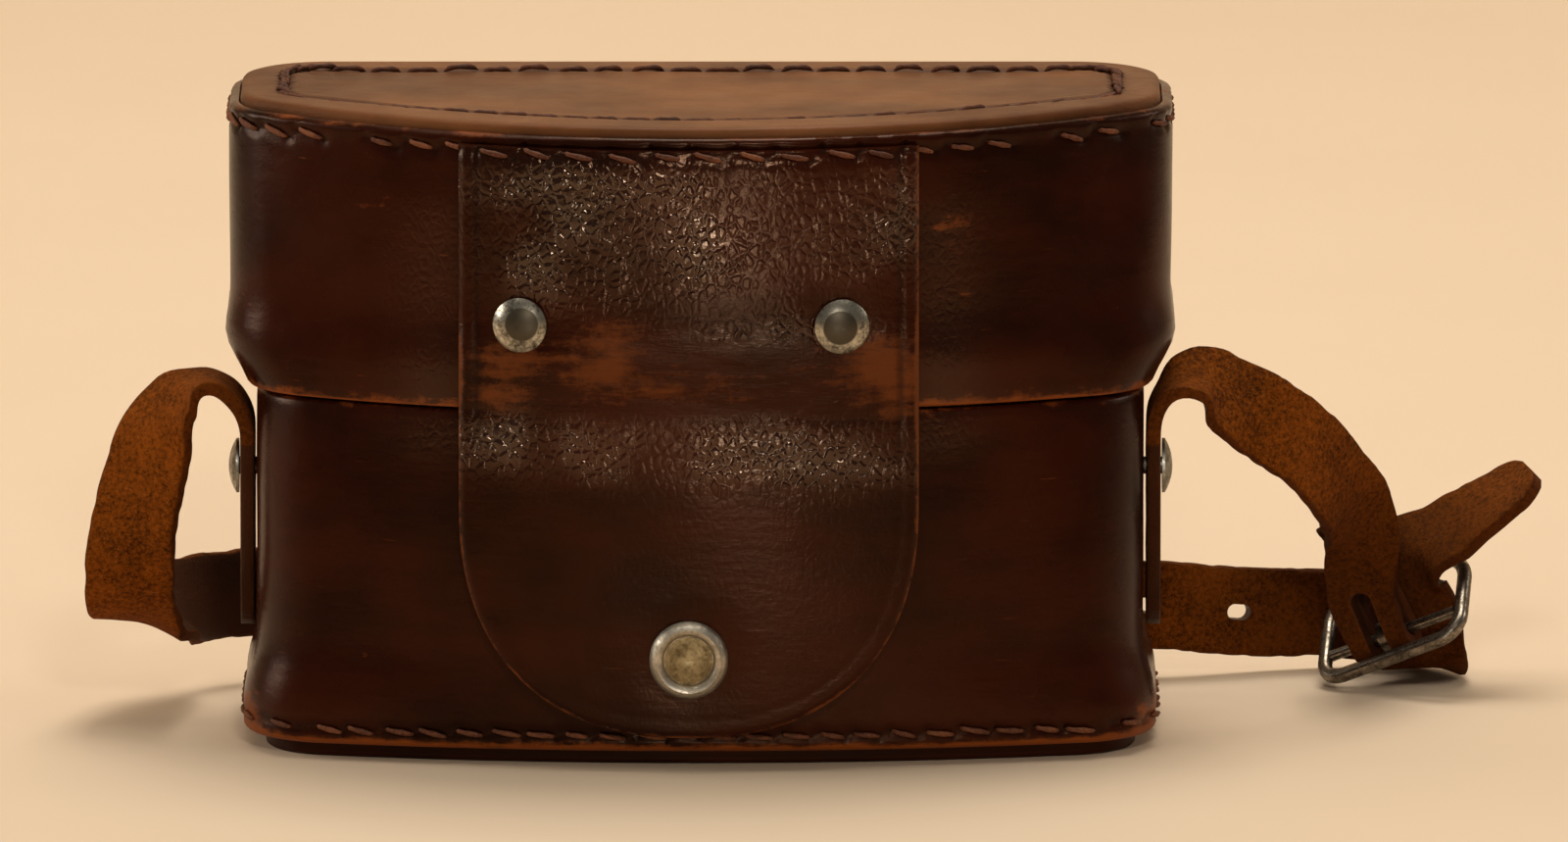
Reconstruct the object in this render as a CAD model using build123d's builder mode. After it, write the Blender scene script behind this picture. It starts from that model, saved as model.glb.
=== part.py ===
"""Leather camera case: bowed body, hinged lid, snap tongue and a buckled carrying strap.

The origin is the middle of the base, on the floor. +Z is up and the bowed front faces -Y.
"""
from build123d import *
import math
import os
from dataclasses import dataclass, replace

# Case body
body_width = 130.4
body_depth = 60.0
body_corner = 14.0
base_bow = 240.0
seam_bow = 125.0
seam_height = 51.0
wall_thickness = 2.6
wall_foot_rounding = 1.6
side_pinch = 2.0
foot_height = 7.0
pinch_height = 15.0

# Base
base_panel_thickness = 2.2
base_panel_inset = 3.2
base_board_thickness = 2.0

# Lining of the body, whose rim is the neck under the lid
liner_thickness = 1.4
neck_rise = 8.0
neck_clearance = 0.9

# Lid
case_height = 92.0
lid_thickness = 2.6
lid_liner_thickness = 1.2
lip_gap = 0.4
lid_flare = 3.9
flare_rise = 6.6
rivet_height = 64.0
rim_bow = 93.0
rim_growth = 3.1
top_panel_thickness = 2.6
top_panel_proud = 1.4
top_panel_inset = 1.5
shoulder_width = 8.0
shoulder_thickness = 2.4

# Leather hinge across the back
hinge_strip_width = 104.0
hinge_strip_thickness = 1.5
hinge_leaf_height = 15.0
crease_gap = 0.35

# Tongue
tongue_width = 65.2
tongue_thickness = 2.2
tongue_middle = -1.6
tongue_tip_height = 4.9
tongue_round_height = 33.0
tongue_roundness = 2.33
tongue_clearance = 0.3

# Rivets and press stud
rivet_radius = 3.9
rivet_dome = 1.5
rivet_rim = 0.4
shank_radius = 1.25
washer_radius = 3.0
washer_thickness = 0.6
tongue_rivet_pitch = 45.5
tongue_rivet_shift = -1.1
snap_height = 16.3
snap_radius = 5.6
snap_dish_radius = 3.5
stud_head_radius = 1.9
seat_gap = 0.05
running_gap = 0.08

# Straps
strap_width = 13.0
strap_thickness = 2.2
strap_gap = 0.3
strap_fold_width = 9.5
strap_rivet_height = 38.5
strap_rivet_forward = -1.0
long_tail_height = 16.0
short_tail_height = 16.0
fold_length = 19.0
fold_rivet_radius = 5.4
rivet_stand_off = 1.4
slot_length = 7.5
slot_width = 3.0
hole_length = 3.6
hole_width = 2.2

# Buckle
buckle_length = 23.0
buckle_depth = 16.6
buckle_wire = 2.0
buckle_near_corner = 3.5
buckle_far_corner = 6.0
bar_radius = 0.8
bar_setback = 4.7
prong_radius = 0.65
prong_clearance = 0.45
fold_along_bar = 10.0
prong_along_bar = 10.4

foot_half_width = body_width / 2
half_width = foot_half_width - side_pinch
half_depth = body_depth / 2
lid_growth = lid_thickness + neck_clearance - wall_thickness
lip_height = seam_height + lip_gap
neck_top = seam_height + neck_rise
rim_height = case_height - top_panel_proud
shoulder_top = case_height - top_panel_thickness
shoulder_bottom = shoulder_top - shoulder_thickness
back_face = half_depth + lid_growth

os.makedirs("parts", exist_ok=True)


@dataclass(frozen=True)
class Level:
    """One horizontal outline of the case: flat back, round corners and a bowed front."""

    height: float
    half_width: float
    crown: float
    bow: float

    def grown(self, by):
        """The same outline moved outward by a distance, or inward where it is negative."""
        return replace(self, half_width=self.half_width + by, crown=self.crown + by,
                       bow=self.bow + by)

    def raised(self, height):
        """The same outline at another height."""
        return replace(self, height=height)

    def front_at(self, x, out=0.0):
        """Point on the bowed front at a place along X, a distance outside the surface."""
        bow = self.bow + out
        return Vector(x, bow - self.crown - out - math.sqrt(bow**2 - x**2), self.height)

    def front_plane(self, x, out=0.0):
        """Plane on the bowed front that faces outward."""
        normal = Vector(x / self.bow, -math.sqrt(1 - (x / self.bow)**2), 0)
        return Plane(origin=self.front_at(x, out), x_dir=Vector(-normal.Y, normal.X, 0), z_dir=normal)


body_foot = Level(base_panel_thickness, foot_half_width, half_depth, base_bow)
body_waist = Level(pinch_height, half_width, half_depth, base_bow * 0.8)
body_seam = Level(seam_height, half_width, half_depth, seam_bow)
lid_lip = body_seam.grown(lid_growth).raised(lip_height)
lid_flared = Level(lip_height + flare_rise, lid_lip.half_width + lid_flare,
                   lid_lip.crown + 0.2 * lid_flare, seam_bow - 7)
lid_waist = Level(rivet_height, lid_lip.half_width + 0.75 * lid_flare, lid_lip.crown + 0.2,
                  seam_bow - 14)
lid_shoulder = Level(shoulder_bottom, lid_lip.half_width + rim_growth, lid_lip.crown + 0.1,
                     rim_bow + 1)
lid_rim = lid_shoulder.raised(rim_height)


def between(low, high, share, turn=0.5):
    """Outline a share of the way up from one level to another, eased at both ends."""
    eased = share + turn * (share * share * (3 - 2 * share) - share) * 2
    return Level(low.height + share * (high.height - low.height),
                 low.half_width + eased * (high.half_width - low.half_width),
                 low.crown + eased * (high.crown - low.crown),
                 low.bow + share * (high.bow - low.bow))


body_levels = [body_foot, body_foot.raised(foot_height)]
body_levels += [between(body_levels[1], body_waist, share) for share in (0.35, 0.65, 1.0)]
body_levels += [body_seam]
lid_levels = [lid_lip]
lid_levels += [between(lid_lip, lid_flared, share, turn=0) for share in (0.25,)]
lid_levels += [between(lid_flared, lid_waist, share) for share in (0.0, 0.35, 0.7)]
lid_levels += [lid_waist, lid_shoulder]


def plan(level, grow=0.0, height=None, back=half_depth):
    """Sketch of a level's outline, grown by a distance and drawn at a height."""
    level = level.grown(grow).raised(level.height if height is None else height)
    corner = body_corner + grow
    rear = back + grow
    bow_centre = level.bow - level.crown
    corner_x = level.half_width - corner
    corner_y = bow_centre - math.sqrt((level.bow - corner)**2 - corner_x**2)
    touch_angle = math.atan2(corner_y - bow_centre, corner_x)
    touch = (corner_x + corner * math.cos(touch_angle), corner_y + corner * math.sin(touch_angle))
    with BuildSketch(Plane.XY.offset(level.height)) as outline:
        with BuildLine():
            ThreePointArc((-touch[0], touch[1]), (0, -level.crown), touch)
            Line((-corner_x, rear), (corner_x, rear))
            for side in (-1, 1):
                mid = touch_angle / 2
                ThreePointArc((side * touch[0], touch[1]),
                              (side * (corner_x + corner * math.cos(mid)),
                               corner_y + corner * math.sin(mid)),
                              (side * level.half_width, corner_y))
                Line((side * level.half_width, corner_y), (side * level.half_width, rear - corner))
                diagonal = corner * math.sqrt(0.5)
                ThreePointArc((side * level.half_width, rear - corner),
                              (side * (corner_x + diagonal), rear - corner + diagonal),
                              (side * corner_x, rear))
        make_face()
    return outline.sketch


def shape(levels, grow=0.0, back=half_depth, mode=Mode.ADD):
    """Loft through the outlines of several levels."""
    loft([plan(level, grow, back=back) for level in levels], ruled=True, mode=mode)


def slab(low, high):
    """Cut away everything between two heights."""
    with BuildSketch(Plane.XY.offset(low)) as field:
        Rectangle(2 * body_width, 4 * body_depth)
    extrude(field.sketch, amount=high - low, mode=Mode.SUBTRACT)


def dome(radius, rim, height):
    """Half section of a domed cap, from its axis outward."""
    rise = height - rim
    ball = (radius**2 + rise**2) / (2 * rise)
    half_angle = math.asin(radius / ball) / 2
    Line((0, 0), (radius, 0))
    Line((radius, 0), (radius, rim))
    ThreePointArc((radius, rim),
                  (ball * math.sin(half_angle), height - ball + ball * math.cos(half_angle)),
                  (0, height))
    Line((0, height), (0, 0))


def section_plane(seat):
    """Plane that holds the seat's axis, with the radius along X and the axis along Y."""
    return Plane(origin=seat.origin, x_dir=seat.x_dir, z_dir=-seat.y_dir)


def cap_on(seat, radius, height, shank, length):
    """Domed rivet head on a seat plane, with its shank through the leather below."""
    with BuildSketch(section_plane(seat)) as half_section:
        with BuildLine():
            dome(radius, rivet_rim, height)
        make_face()
    revolve(half_section.sketch, axis=Axis(seat.origin, seat.z_dir))
    with BuildSketch(seat) as round_shank:
        Circle(shank)
    extrude(round_shank.sketch, amount=-length)


def washer_under(seat, depth, radius, thickness, hole):
    """Flat ring round a shank, a depth below the seat plane."""
    with BuildSketch(seat.offset(-depth - thickness)) as ring:
        Circle(radius)
        Circle(hole, mode=Mode.SUBTRACT)
    extrude(ring.sketch, amount=thickness)


def bore(seat, radius, above, below):
    """Round hole along a seat's axis."""
    with BuildSketch(seat.offset(above)) as hole:
        Circle(radius)
    extrude(hole.sketch, amount=-(above + below), mode=Mode.SUBTRACT)


def finish(piece, name):
    """Label a finished piece and write its STEP file."""
    piece.part.label = name
    export_step(piece.part, f"parts/{name}.step")


# Places of the rivets and of the press stud
tongue_rivet_seats = [
    lid_waist.front_plane(tongue_middle + tongue_rivet_shift + side * tongue_rivet_pitch / 2,
                          seat_gap + tongue_thickness + seat_gap)
    for side in (-1, 1)
]
snap_level = body_waist.raised(snap_height)
stud_seat = snap_level.front_plane(tongue_middle, seat_gap)
flap_inside = lid_growth + tongue_clearance
flap_outside = flap_inside + tongue_thickness
snap_seat = snap_level.front_plane(tongue_middle, flap_outside + seat_gap)
side_out = half_width + strap_gap + strap_thickness
side_rivet_seats = [
    Plane(origin=(side * (side_out + strap_gap / 2), strap_rivet_forward, strap_rivet_height),
          x_dir=(0, 1, 0), z_dir=(side, 0, 0))
    for side in (-1, 1)
]
side_grip = wall_thickness + liner_thickness + seat_gap
side_shank = strap_gap * 1.5 + strap_thickness + side_grip + washer_thickness
lid_grip = tongue_thickness + lid_thickness + lid_liner_thickness + 4 * seat_gap

# Body wall
with BuildPart() as body_wall:
    shape(body_levels)
    fillet(body_wall.faces().sort_by(Axis.Z)[0].edges(), radius=wall_foot_rounding)
    shape(body_levels, grow=-wall_thickness, mode=Mode.SUBTRACT)
    bore(stud_seat, shank_radius + running_gap, 1, wall_thickness + 1)
    for seat in side_rivet_seats:
        bore(seat, shank_radius + running_gap, 1, side_shank)
finish(body_wall, "body_wall")

# Base panel under the wall, and the board above it that the bottom seam is sewn into
with BuildPart() as base_panel:
    add(plan(body_foot, grow=-base_panel_inset, height=0))
    extrude(amount=base_panel_thickness)
    fillet(base_panel.faces().sort_by(Axis.Z)[0].edges(), radius=base_panel_thickness / 3)
finish(base_panel, "base_panel")

inside_wall = -wall_thickness - seat_gap
board_top = base_panel_thickness + base_board_thickness
with BuildPart() as base_board:
    shape(body_levels, grow=inside_wall)
    slab(board_top, case_height)
finish(base_board, "base_board")

# Lining shell with its neck
with BuildPart() as body_liner:
    shape(body_levels, grow=inside_wall)
    shape(body_levels, grow=inside_wall - liner_thickness, mode=Mode.SUBTRACT)
    slab(0, board_top)
    add(plan(body_foot, grow=inside_wall - liner_thickness / 2, height=board_top))
    extrude(amount=liner_thickness)
    add(plan(body_seam, grow=inside_wall))
    extrude(amount=neck_rise)
    add(plan(body_seam, grow=inside_wall - liner_thickness))
    extrude(amount=neck_rise, mode=Mode.SUBTRACT)
    bore(stud_seat, shank_radius + running_gap, 0, wall_thickness + 3 * liner_thickness)
    for seat in side_rivet_seats:
        bore(seat, shank_radius + running_gap, 0, side_shank)
finish(body_liner, "body_liner")

# Lid wall, with the shoulder that carries the top panel
with BuildPart() as lid_wall:
    shape(lid_levels + [lid_rim], back=back_face)
    fillet(lid_wall.faces().sort_by(Axis.Z)[-1].edges(), radius=top_panel_inset * 0.8)
    shape(lid_levels, grow=-lid_thickness, back=back_face, mode=Mode.SUBTRACT)
    add(plan(lid_shoulder, grow=-lid_thickness - shoulder_width, back=back_face))
    extrude(amount=shoulder_thickness, mode=Mode.SUBTRACT)
    add(plan(lid_rim, grow=-top_panel_inset, height=shoulder_top, back=back_face))
    extrude(amount=rim_height - shoulder_top, mode=Mode.SUBTRACT)
    for seat in tongue_rivet_seats:
        bore(seat, shank_radius + running_gap, 1, lid_grip)
finish(lid_wall, "lid_wall")

# Top panel of the lid
with BuildPart() as lid_top:
    add(plan(lid_rim, grow=-top_panel_inset - seat_gap, height=shoulder_top, back=back_face))
    extrude(amount=top_panel_thickness)
    fillet(lid_top.faces().sort_by(Axis.Z)[-1].edges(), radius=top_panel_proud / 2)
finish(lid_top, "lid_top")

# Lining shell of the lid, above the neck
lid_liner_foot = neck_top + neck_clearance + lip_gap
with BuildPart() as lid_liner:
    shape(lid_levels, grow=-lid_thickness - seat_gap, back=back_face)
    shape(lid_levels, grow=-lid_thickness - seat_gap - lid_liner_thickness, back=back_face,
          mode=Mode.SUBTRACT)
    slab(0, lid_liner_foot)
    for seat in tongue_rivet_seats:
        bore(seat, shank_radius + running_gap, 0, lid_grip + 2)
finish(lid_liner, "lid_liner")

# Leather hinge strip, in two leaves that meet at its crease
hinge_outside = back_face + seat_gap + hinge_strip_thickness
for name, low, seat_face in (("hinge_strip_lower", seam_height - hinge_leaf_height, half_depth),
                             ("hinge_strip_upper", seam_height + crease_gap, back_face)):
    hinge_inside = seat_face + seat_gap
    with BuildPart() as leaf:
        with BuildSketch(Plane.XY.offset(low)):
            with Locations((0, (hinge_inside + hinge_outside) / 2)):
                Rectangle(hinge_strip_width, hinge_outside - hinge_inside)
        extrude(amount=hinge_leaf_height - crease_gap)
    finish(leaf, name)


def tongue_outline():
    """Front view of the whole tongue: straight sides and a round lower end."""
    half = tongue_width / 2
    waist = tongue_tip_height + tongue_round_height
    turn = [math.pi * step / 12 for step in range(1, 12)]
    low_curve = [
        (tongue_middle - half * math.copysign(abs(math.cos(a))**(2 / tongue_roundness), math.cos(a)),
         waist - tongue_round_height * math.sin(a)**(2 / tongue_roundness))
        for a in turn
    ]
    left = (tongue_middle - half, waist)
    right = (tongue_middle + half, waist)
    Spline([left] + low_curve + [right], tangents=[(0, -1), (0, 1)])
    Polyline(right, (right[0], rim_height), (left[0], rim_height), left)


def tongue_cut(low, high):
    """Keep what lies behind the tongue's outline between two heights."""
    with BuildSketch(Plane.XZ) as front_view:
        with BuildLine():
            tongue_outline()
        make_face()
        with Locations((tongue_middle, (low + high) / 2)):
            Rectangle(tongue_width, high - low, mode=Mode.INTERSECT)
    extrude(front_view.sketch, amount=body_depth, mode=Mode.INTERSECT)


# Tongue: the root is sewn and riveted to the lid, the flap hangs from the crease
with BuildPart() as tongue_root:
    shape(lid_levels + [lid_rim], grow=seat_gap + tongue_thickness)
    shape(lid_levels + [lid_rim], grow=seat_gap, mode=Mode.SUBTRACT)
    tongue_cut(lip_height, rim_height - top_panel_inset)
    for seat in tongue_rivet_seats:
        bore(seat, shank_radius + running_gap, 1, lid_grip)
        bore(seat, rivet_radius + running_gap, 2, seat_gap)
finish(tongue_root, "tongue_root")

with BuildPart() as tongue_flap:
    shape(body_levels, grow=flap_outside)
    shape(body_levels, grow=flap_inside, mode=Mode.SUBTRACT)
    tongue_cut(0, seam_height - crease_gap / 2)
    bore(snap_seat, stud_head_radius + 0.75, 1, flap_outside)
finish(tongue_flap, "tongue_flap")

with BuildPart() as tongue_rivets:
    for seat in tongue_rivet_seats:
        cap_on(seat, rivet_radius, rivet_dome + rivet_rim, shank_radius, lid_grip + washer_thickness)
finish(tongue_rivets, "tongue_rivets")

with BuildPart() as tongue_rivet_washers:
    for seat in tongue_rivet_seats:
        washer_under(seat, lid_grip + 4 * seat_gap, washer_radius, washer_thickness, shank_radius)
finish(tongue_rivet_washers, "tongue_rivet_washers")

# Press stud on the body's front
stud_flange = 0.4
stud_reach = flap_inside + 1.3
stud_grip = wall_thickness + liner_thickness + 4 * seat_gap
with BuildPart() as snap_stud:
    with BuildSketch(section_plane(stud_seat)):
        with BuildLine():
            Polyline((0, -stud_grip - washer_thickness), (shank_radius, -stud_grip - washer_thickness),
                     (shank_radius, 0), (washer_radius + 1, 0), (washer_radius + 1, stud_flange),
                     (stud_head_radius - 0.4, stud_flange), (stud_head_radius - 0.4, stud_reach - 1),
                     (stud_head_radius, stud_reach - 0.6), (stud_head_radius, stud_reach - 0.3),
                     (stud_head_radius - 0.3, stud_reach), (0, stud_reach), close=True)
        make_face()
    revolve(axis=Axis(stud_seat.origin, stud_seat.z_dir))
finish(snap_stud, "snap_stud")

with BuildPart() as snap_stud_washer:
    washer_under(stud_seat, stud_grip, washer_radius + 0.5, washer_thickness, shank_radius)
finish(snap_stud_washer, "snap_stud_washer")

# Socket half of the press stud, in the flap, with its dished cap outside
socket_bore = stud_head_radius + 0.2
socket_outside = stud_head_radius + 0.7
socket_rim = washer_radius + 1.2
socket_flange = 0.3
with BuildPart() as snap_socket:
    inner_face = -tongue_thickness - 2 * seat_gap
    with BuildSketch(section_plane(snap_seat)):
        with BuildLine():
            Polyline((socket_bore, inner_face - socket_flange),
                     (socket_rim, inner_face - socket_flange),
                     (socket_rim, inner_face), (socket_outside, inner_face),
                     (socket_outside, -seat_gap), (socket_bore, -seat_gap), close=True)
        make_face()
    revolve(axis=Axis(snap_seat.origin, snap_seat.z_dir))
finish(snap_socket, "snap_socket")

dish_floor = 0.5
snap_rise = 1.7
with BuildPart() as snap_cap:
    with BuildSketch(section_plane(snap_seat)):
        with BuildLine():
            crest = (snap_dish_radius + snap_radius) / 2
            Polyline((0, dish_floor), (0, 0), (snap_radius, 0), (snap_radius, 0.4))
            ThreePointArc((snap_radius, 0.4), (snap_radius - 0.5, snap_rise - 0.5), (crest, snap_rise))
            ThreePointArc((crest, snap_rise), (snap_dish_radius + 0.35, snap_rise - 0.4),
                          (snap_dish_radius, dish_floor))
            Line((snap_dish_radius, dish_floor), (0, dish_floor))
        make_face()
    revolve(axis=Axis(snap_seat.origin, snap_seat.z_dir))
finish(snap_cap, "snap_cap")

with BuildPart() as snap_cap_disc:
    with BuildSketch(section_plane(snap_seat.offset(dish_floor))):
        with BuildLine():
            dome(snap_dish_radius - seat_gap, 0.15, 0.45)
        make_face()
    revolve(axis=Axis(snap_seat.origin, snap_seat.z_dir))
finish(snap_cap_disc, "snap_cap_disc")

# Rivets that hold the strap ends to the side walls
with BuildPart() as side_rivets:
    for seat in side_rivet_seats:
        cap_on(seat, rivet_radius, rivet_dome, shank_radius, side_shank)
finish(side_rivets, "side_rivets")

with BuildPart() as side_rivet_washers:
    for seat in side_rivet_seats:
        washer_under(seat, side_shank - washer_thickness + seat_gap, washer_radius,
                     washer_thickness, shank_radius)
finish(side_rivet_washers, "side_rivet_washers")


@dataclass(frozen=True)
class Station:
    """Cross section of a strap: its middle, its direction across, and its width there."""

    middle: Vector
    along: Vector
    across: Vector
    width: float

    @property
    def flesh(self):
        """Direction from the grain side to the flesh side, or the reverse on the other strap."""
        return self.along.cross(self.across).normalized()

    def section(self):
        """Rectangle of the strap's leather at this station."""
        place = Plane(origin=self.middle, x_dir=self.across, z_dir=self.along)
        with BuildSketch(place) as cut:
            Rectangle(self.width, strap_thickness)
        return cut.sketch


def squared(across, along):
    """Direction across made square to the direction along."""
    return (across - along * across.dot(along)).normalized()


def spread(low, high, count):
    """Evenly spread shares from one share up to, but without, another."""
    return [low + (high - low) * step / count for step in range(count)]


def strap_run(route, start, end, shares, widths):
    """Stations along a smooth line through a route of (point, across) pairs."""
    line = Edge.make_spline([point for point, across in route], tangents=[start, end], scale=False)
    marks = [line.param_at_point(point) for point, across in route]
    stations = []
    for share in shares:
        after = next((i for i in range(1, len(marks) - 1) if marks[i] > share), len(marks) - 1)
        blend = (share - marks[after - 1]) / (marks[after] - marks[after - 1])
        eased = blend * blend * (3 - 2 * blend)
        across = route[after - 1][1] * (1 - eased) + route[after][1] * eased
        along = line.tangent_at(share)
        stations.append(Station(line.position_at(share), along, squared(across, along), widths(share)))
    return stations


def beside(side, out, y, z):
    """Point a distance outside a side wall of the case."""
    return Vector(side * (half_width + out), y, z)


def behind(x_share, out, z):
    """Point behind the flat back, at a share of the case's half width."""
    return Vector(x_share * half_width, half_depth + out, z)


# Frame of the buckle: along its bar, towards its far rail, and square to both
bar_way = Vector(0.84, -0.38, 0.39).normalized()
far_way = squared(Vector(0.09, 0.804, 0.589), bar_way)
buckle_up = bar_way.cross(far_way)
buckle_corner = beside(1, 26.4, half_depth - 0.1, 1.1)


def in_buckle(along, far, up=0.0):
    """Point in the buckle's own frame, measured from its near left corner."""
    return buckle_corner + bar_way * along + far_way * far + buckle_up * up


prong_reach = buckle_depth - bar_setback + buckle_wire / 2
prong_rise = buckle_wire / 2 + prong_radius + 0.1
eye_wire = bar_radius + 0.1 + prong_radius
prong_root = in_buckle(prong_along_bar, bar_setback + eye_wire, 0.2)
prong_bend = in_buckle(prong_along_bar, bar_setback + prong_reach - 2.5, prong_rise)
prong_end = in_buckle(prong_along_bar, bar_setback + prong_reach, prong_rise)
prong_hole = Plane(origin=prong_root, x_dir=bar_way, z_dir=prong_bend - prong_root)
flat_middle = strap_gap + strap_thickness / 2
strap_lift = seam_height - 7.5
up_way = Vector(0, 0, 1)
depth_way = Vector(0, 1, 0)


def flat_end(side, foot):
    """Stations of a strap's end, which lies flat up a side wall and is rounded at its foot."""
    return [
        Station(beside(side, flat_middle, strap_rivet_forward, foot + rise), up_way, depth_way, width)
        for rise, width in ((0, strap_width * 0.45), (0.8, strap_width * 0.7),
                            (2.4, strap_width * 0.92), (5, strap_width))
    ]


# Long strap: up the left wall, out and down, round behind the case and through the buckle
long_route = [
    (beside(-1, flat_middle, strap_rivet_forward, strap_lift), depth_way),
    (beside(-1, 3.4, -1, seam_height - 2.4), depth_way),
    (beside(-1, 7.4, -1, seam_height - 0.4), Vector(-0.1, 1, 0)),
    (beside(-1, 11.6, -1.2, seam_height - 2.8), Vector(-0.55, 0.8, 0)),
    (beside(-1, 15.4, -1.5, 39.5), Vector(-0.85, 0.5, 0)),
    (beside(-1, 17.6, -1.2, 30.4), Vector(-0.92, 0.38, 0)),
    (beside(-1, 18.4, 0.5, 22), Vector(-1, 0.1, 0)),
    (beside(-1, 18, 6, 16), Vector(-1, 0, 0.05)),
    (beside(-1, 15.4, 15.5, 14), Vector(-0.85, 0.1, 0.5)),
    (beside(-1, 9, half_depth, 13.4), Vector(-0.4, -0.3, 0.9)),
    (behind(-0.92, 8.2, 13.3), Vector(0, 0.1, 1)),
    (behind(-0.6, 9.2, 13.4), Vector(0, 0.2, 1)),
    (behind(0, 9.4, 13.4), Vector(0, 1, 0)),
    (behind(0.6, 9.2, 12.2), Vector(0, 0.2, -1)),
    (beside(1, 6.8, half_depth + 10, 10.2), Vector(0, 0, -1)),
    (beside(1, 20, half_depth + 14.4, 8.6), Vector(0, 0, -1)),
    (beside(1, 30.4, half_depth + 16, 7.9), Vector(0, 0.1, -0.99)),
    (beside(1, 37.6, half_depth + 14.6, 6), Vector(0.3, 0.4, -0.87)),
    (beside(1, 41.2, half_depth + 9.2, 3.9), Vector(0.85, 0.4, -0.35)),
    (beside(1, 41, half_depth + 4.9, 3.3), Vector(0.97, -0.05, 0.05)),
    (in_buckle(12.8, 11, -2.8), Vector(0.92, -0.3, 0.25)),
    (in_buckle(12.8, 12.9, 0), Vector(0.87, -0.4, 0.2)),
    (in_buckle(15.8, 14.4, 4.2), Vector(0.84, -0.5, 0)),
    (beside(1, 44.3, half_depth + 3, 22.6), Vector(0.68, -0.65, -0.2)),
    (beside(1, 48.3, half_depth + 2.8, 25.4), Vector(0.6, -0.74, -0.3)),
    (beside(1, 53, half_depth + 3.2, 28.6), Vector(0.52, -0.8, -0.3)),
    (beside(1, 56.4, half_depth + 3.6, 31.4), Vector(0.45, -0.85, -0.27)),
]


long_shares = spread(0, 0.24, 36) + spread(0.24, 0.78, 46) + spread(0.78, 0.985, 38)
long_shares += spread(0.985, 1, 5) + [1]
hole_spots = (80, 76, 72)


def long_width(share):
    """Width of the long strap, which ends in a round point."""
    tip = (1 - share) / 0.016
    return strap_width * (1.0 if tip >= 1 else 0.4 + 0.6 * math.sqrt(1 - (1 - tip)**2))


long_stations = strap_run(long_route, up_way, Vector(0.72, 0.12, 0.68), long_shares, long_width)
with BuildPart() as strap_long:
    loft([place.section() for place in flat_end(-1, long_tail_height) + long_stations], ruled=True)
    bore(side_rivet_seats[0], shank_radius + running_gap, 1, strap_thickness + 3)
    with BuildSketch(prong_hole):
        SlotOverall(hole_length, 2 * (prong_radius + prong_clearance), rotation=90)
    extrude(amount=prong_reach, mode=Mode.SUBTRACT)
    for spot in hole_spots:
        place = long_stations[spot]
        with BuildSketch(Plane(origin=place.middle - place.flesh * strap_thickness,
                               x_dir=place.along, z_dir=place.flesh)):
            SlotOverall(hole_length, hole_width)
        extrude(amount=2 * strap_thickness, mode=Mode.SUBTRACT)
finish(strap_long, "strap_long")

# Short strap: up the right wall, out and down to the bar, round it and back up to the rivet
fold_way = squared(Vector(0.35, -0.1, -0.93), bar_way)
fold_face = fold_way.cross(bar_way)
eye_radius = bar_radius + 0.25 + strap_thickness / 2
bar_middle = in_buckle(fold_along_bar, bar_setback)
fold_start = bar_middle + fold_face * eye_radius
short_route = [
    (beside(1, flat_middle, strap_rivet_forward, strap_lift), depth_way),
    (beside(1, 2.6, -1, seam_height - 2.6), depth_way),
    (beside(1, 6.6, -0.2, seam_height - 0.1), Vector(0.05, 0.95, 0.3)),
    (beside(1, 12, 2.3, 48.1), Vector(0.2, 0.65, 0.72)),
    (beside(1, 18, 5, 43.9), Vector(0.35, 0.4, 0.85)),
    (beside(1, 24, 9, 38.8), Vector(0.42, 0.55, 0.72)),
    (beside(1, 28.4, 15, 32.6), Vector(0.5, 0.72, 0.48)),
    (beside(1, 31, 22.5, 27), Vector(0.74, 0.45, 0.4)),
    (beside(1, 31.8, 26.8, 20.6), Vector(0.88, -0.1, 0.2)),
    (fold_start - fold_way * 6.5, Vector(0.86, -0.3, 0.3)),
    (fold_start, bar_way),
]
narrow_from = 0.55


def short_width(share):
    """Width of the short strap, which narrows towards the buckle."""
    taper = max(0.0, (share - narrow_from) / (1 - narrow_from))
    return strap_width - (strap_width - strap_fold_width) * taper


short_shares = spread(0, 1, 56) + [1]
short_stations = strap_run(short_route, up_way, fold_way, short_shares, short_width)
turn_steps = 8
turn_stations = [
    Station(bar_middle + (fold_face * math.cos(angle) + fold_way * math.sin(angle)) * eye_radius,
            fold_way * math.cos(angle) - fold_face * math.sin(angle), bar_way, strap_fold_width)
    for angle in (math.pi * step / turn_steps for step in range(1, turn_steps + 1))
]


def tail_stations():
    """Stations of the folded tail, which runs back up behind the strap's last stretch."""
    stations = []
    travelled = 0.0
    last = fold_start
    for place in reversed(short_stations[:-1]):
        travelled += (place.middle - last).length
        last = place.middle
        if travelled > fold_length:
            break
        eased = min(1.0, travelled / 8)
        apart = 2 * eye_radius + (strap_thickness + seat_gap * 4 - 2 * eye_radius) * eased
        stations.append(Station(place.middle - place.flesh * apart, -place.along, place.across,
                                place.width))
    return stations


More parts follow.
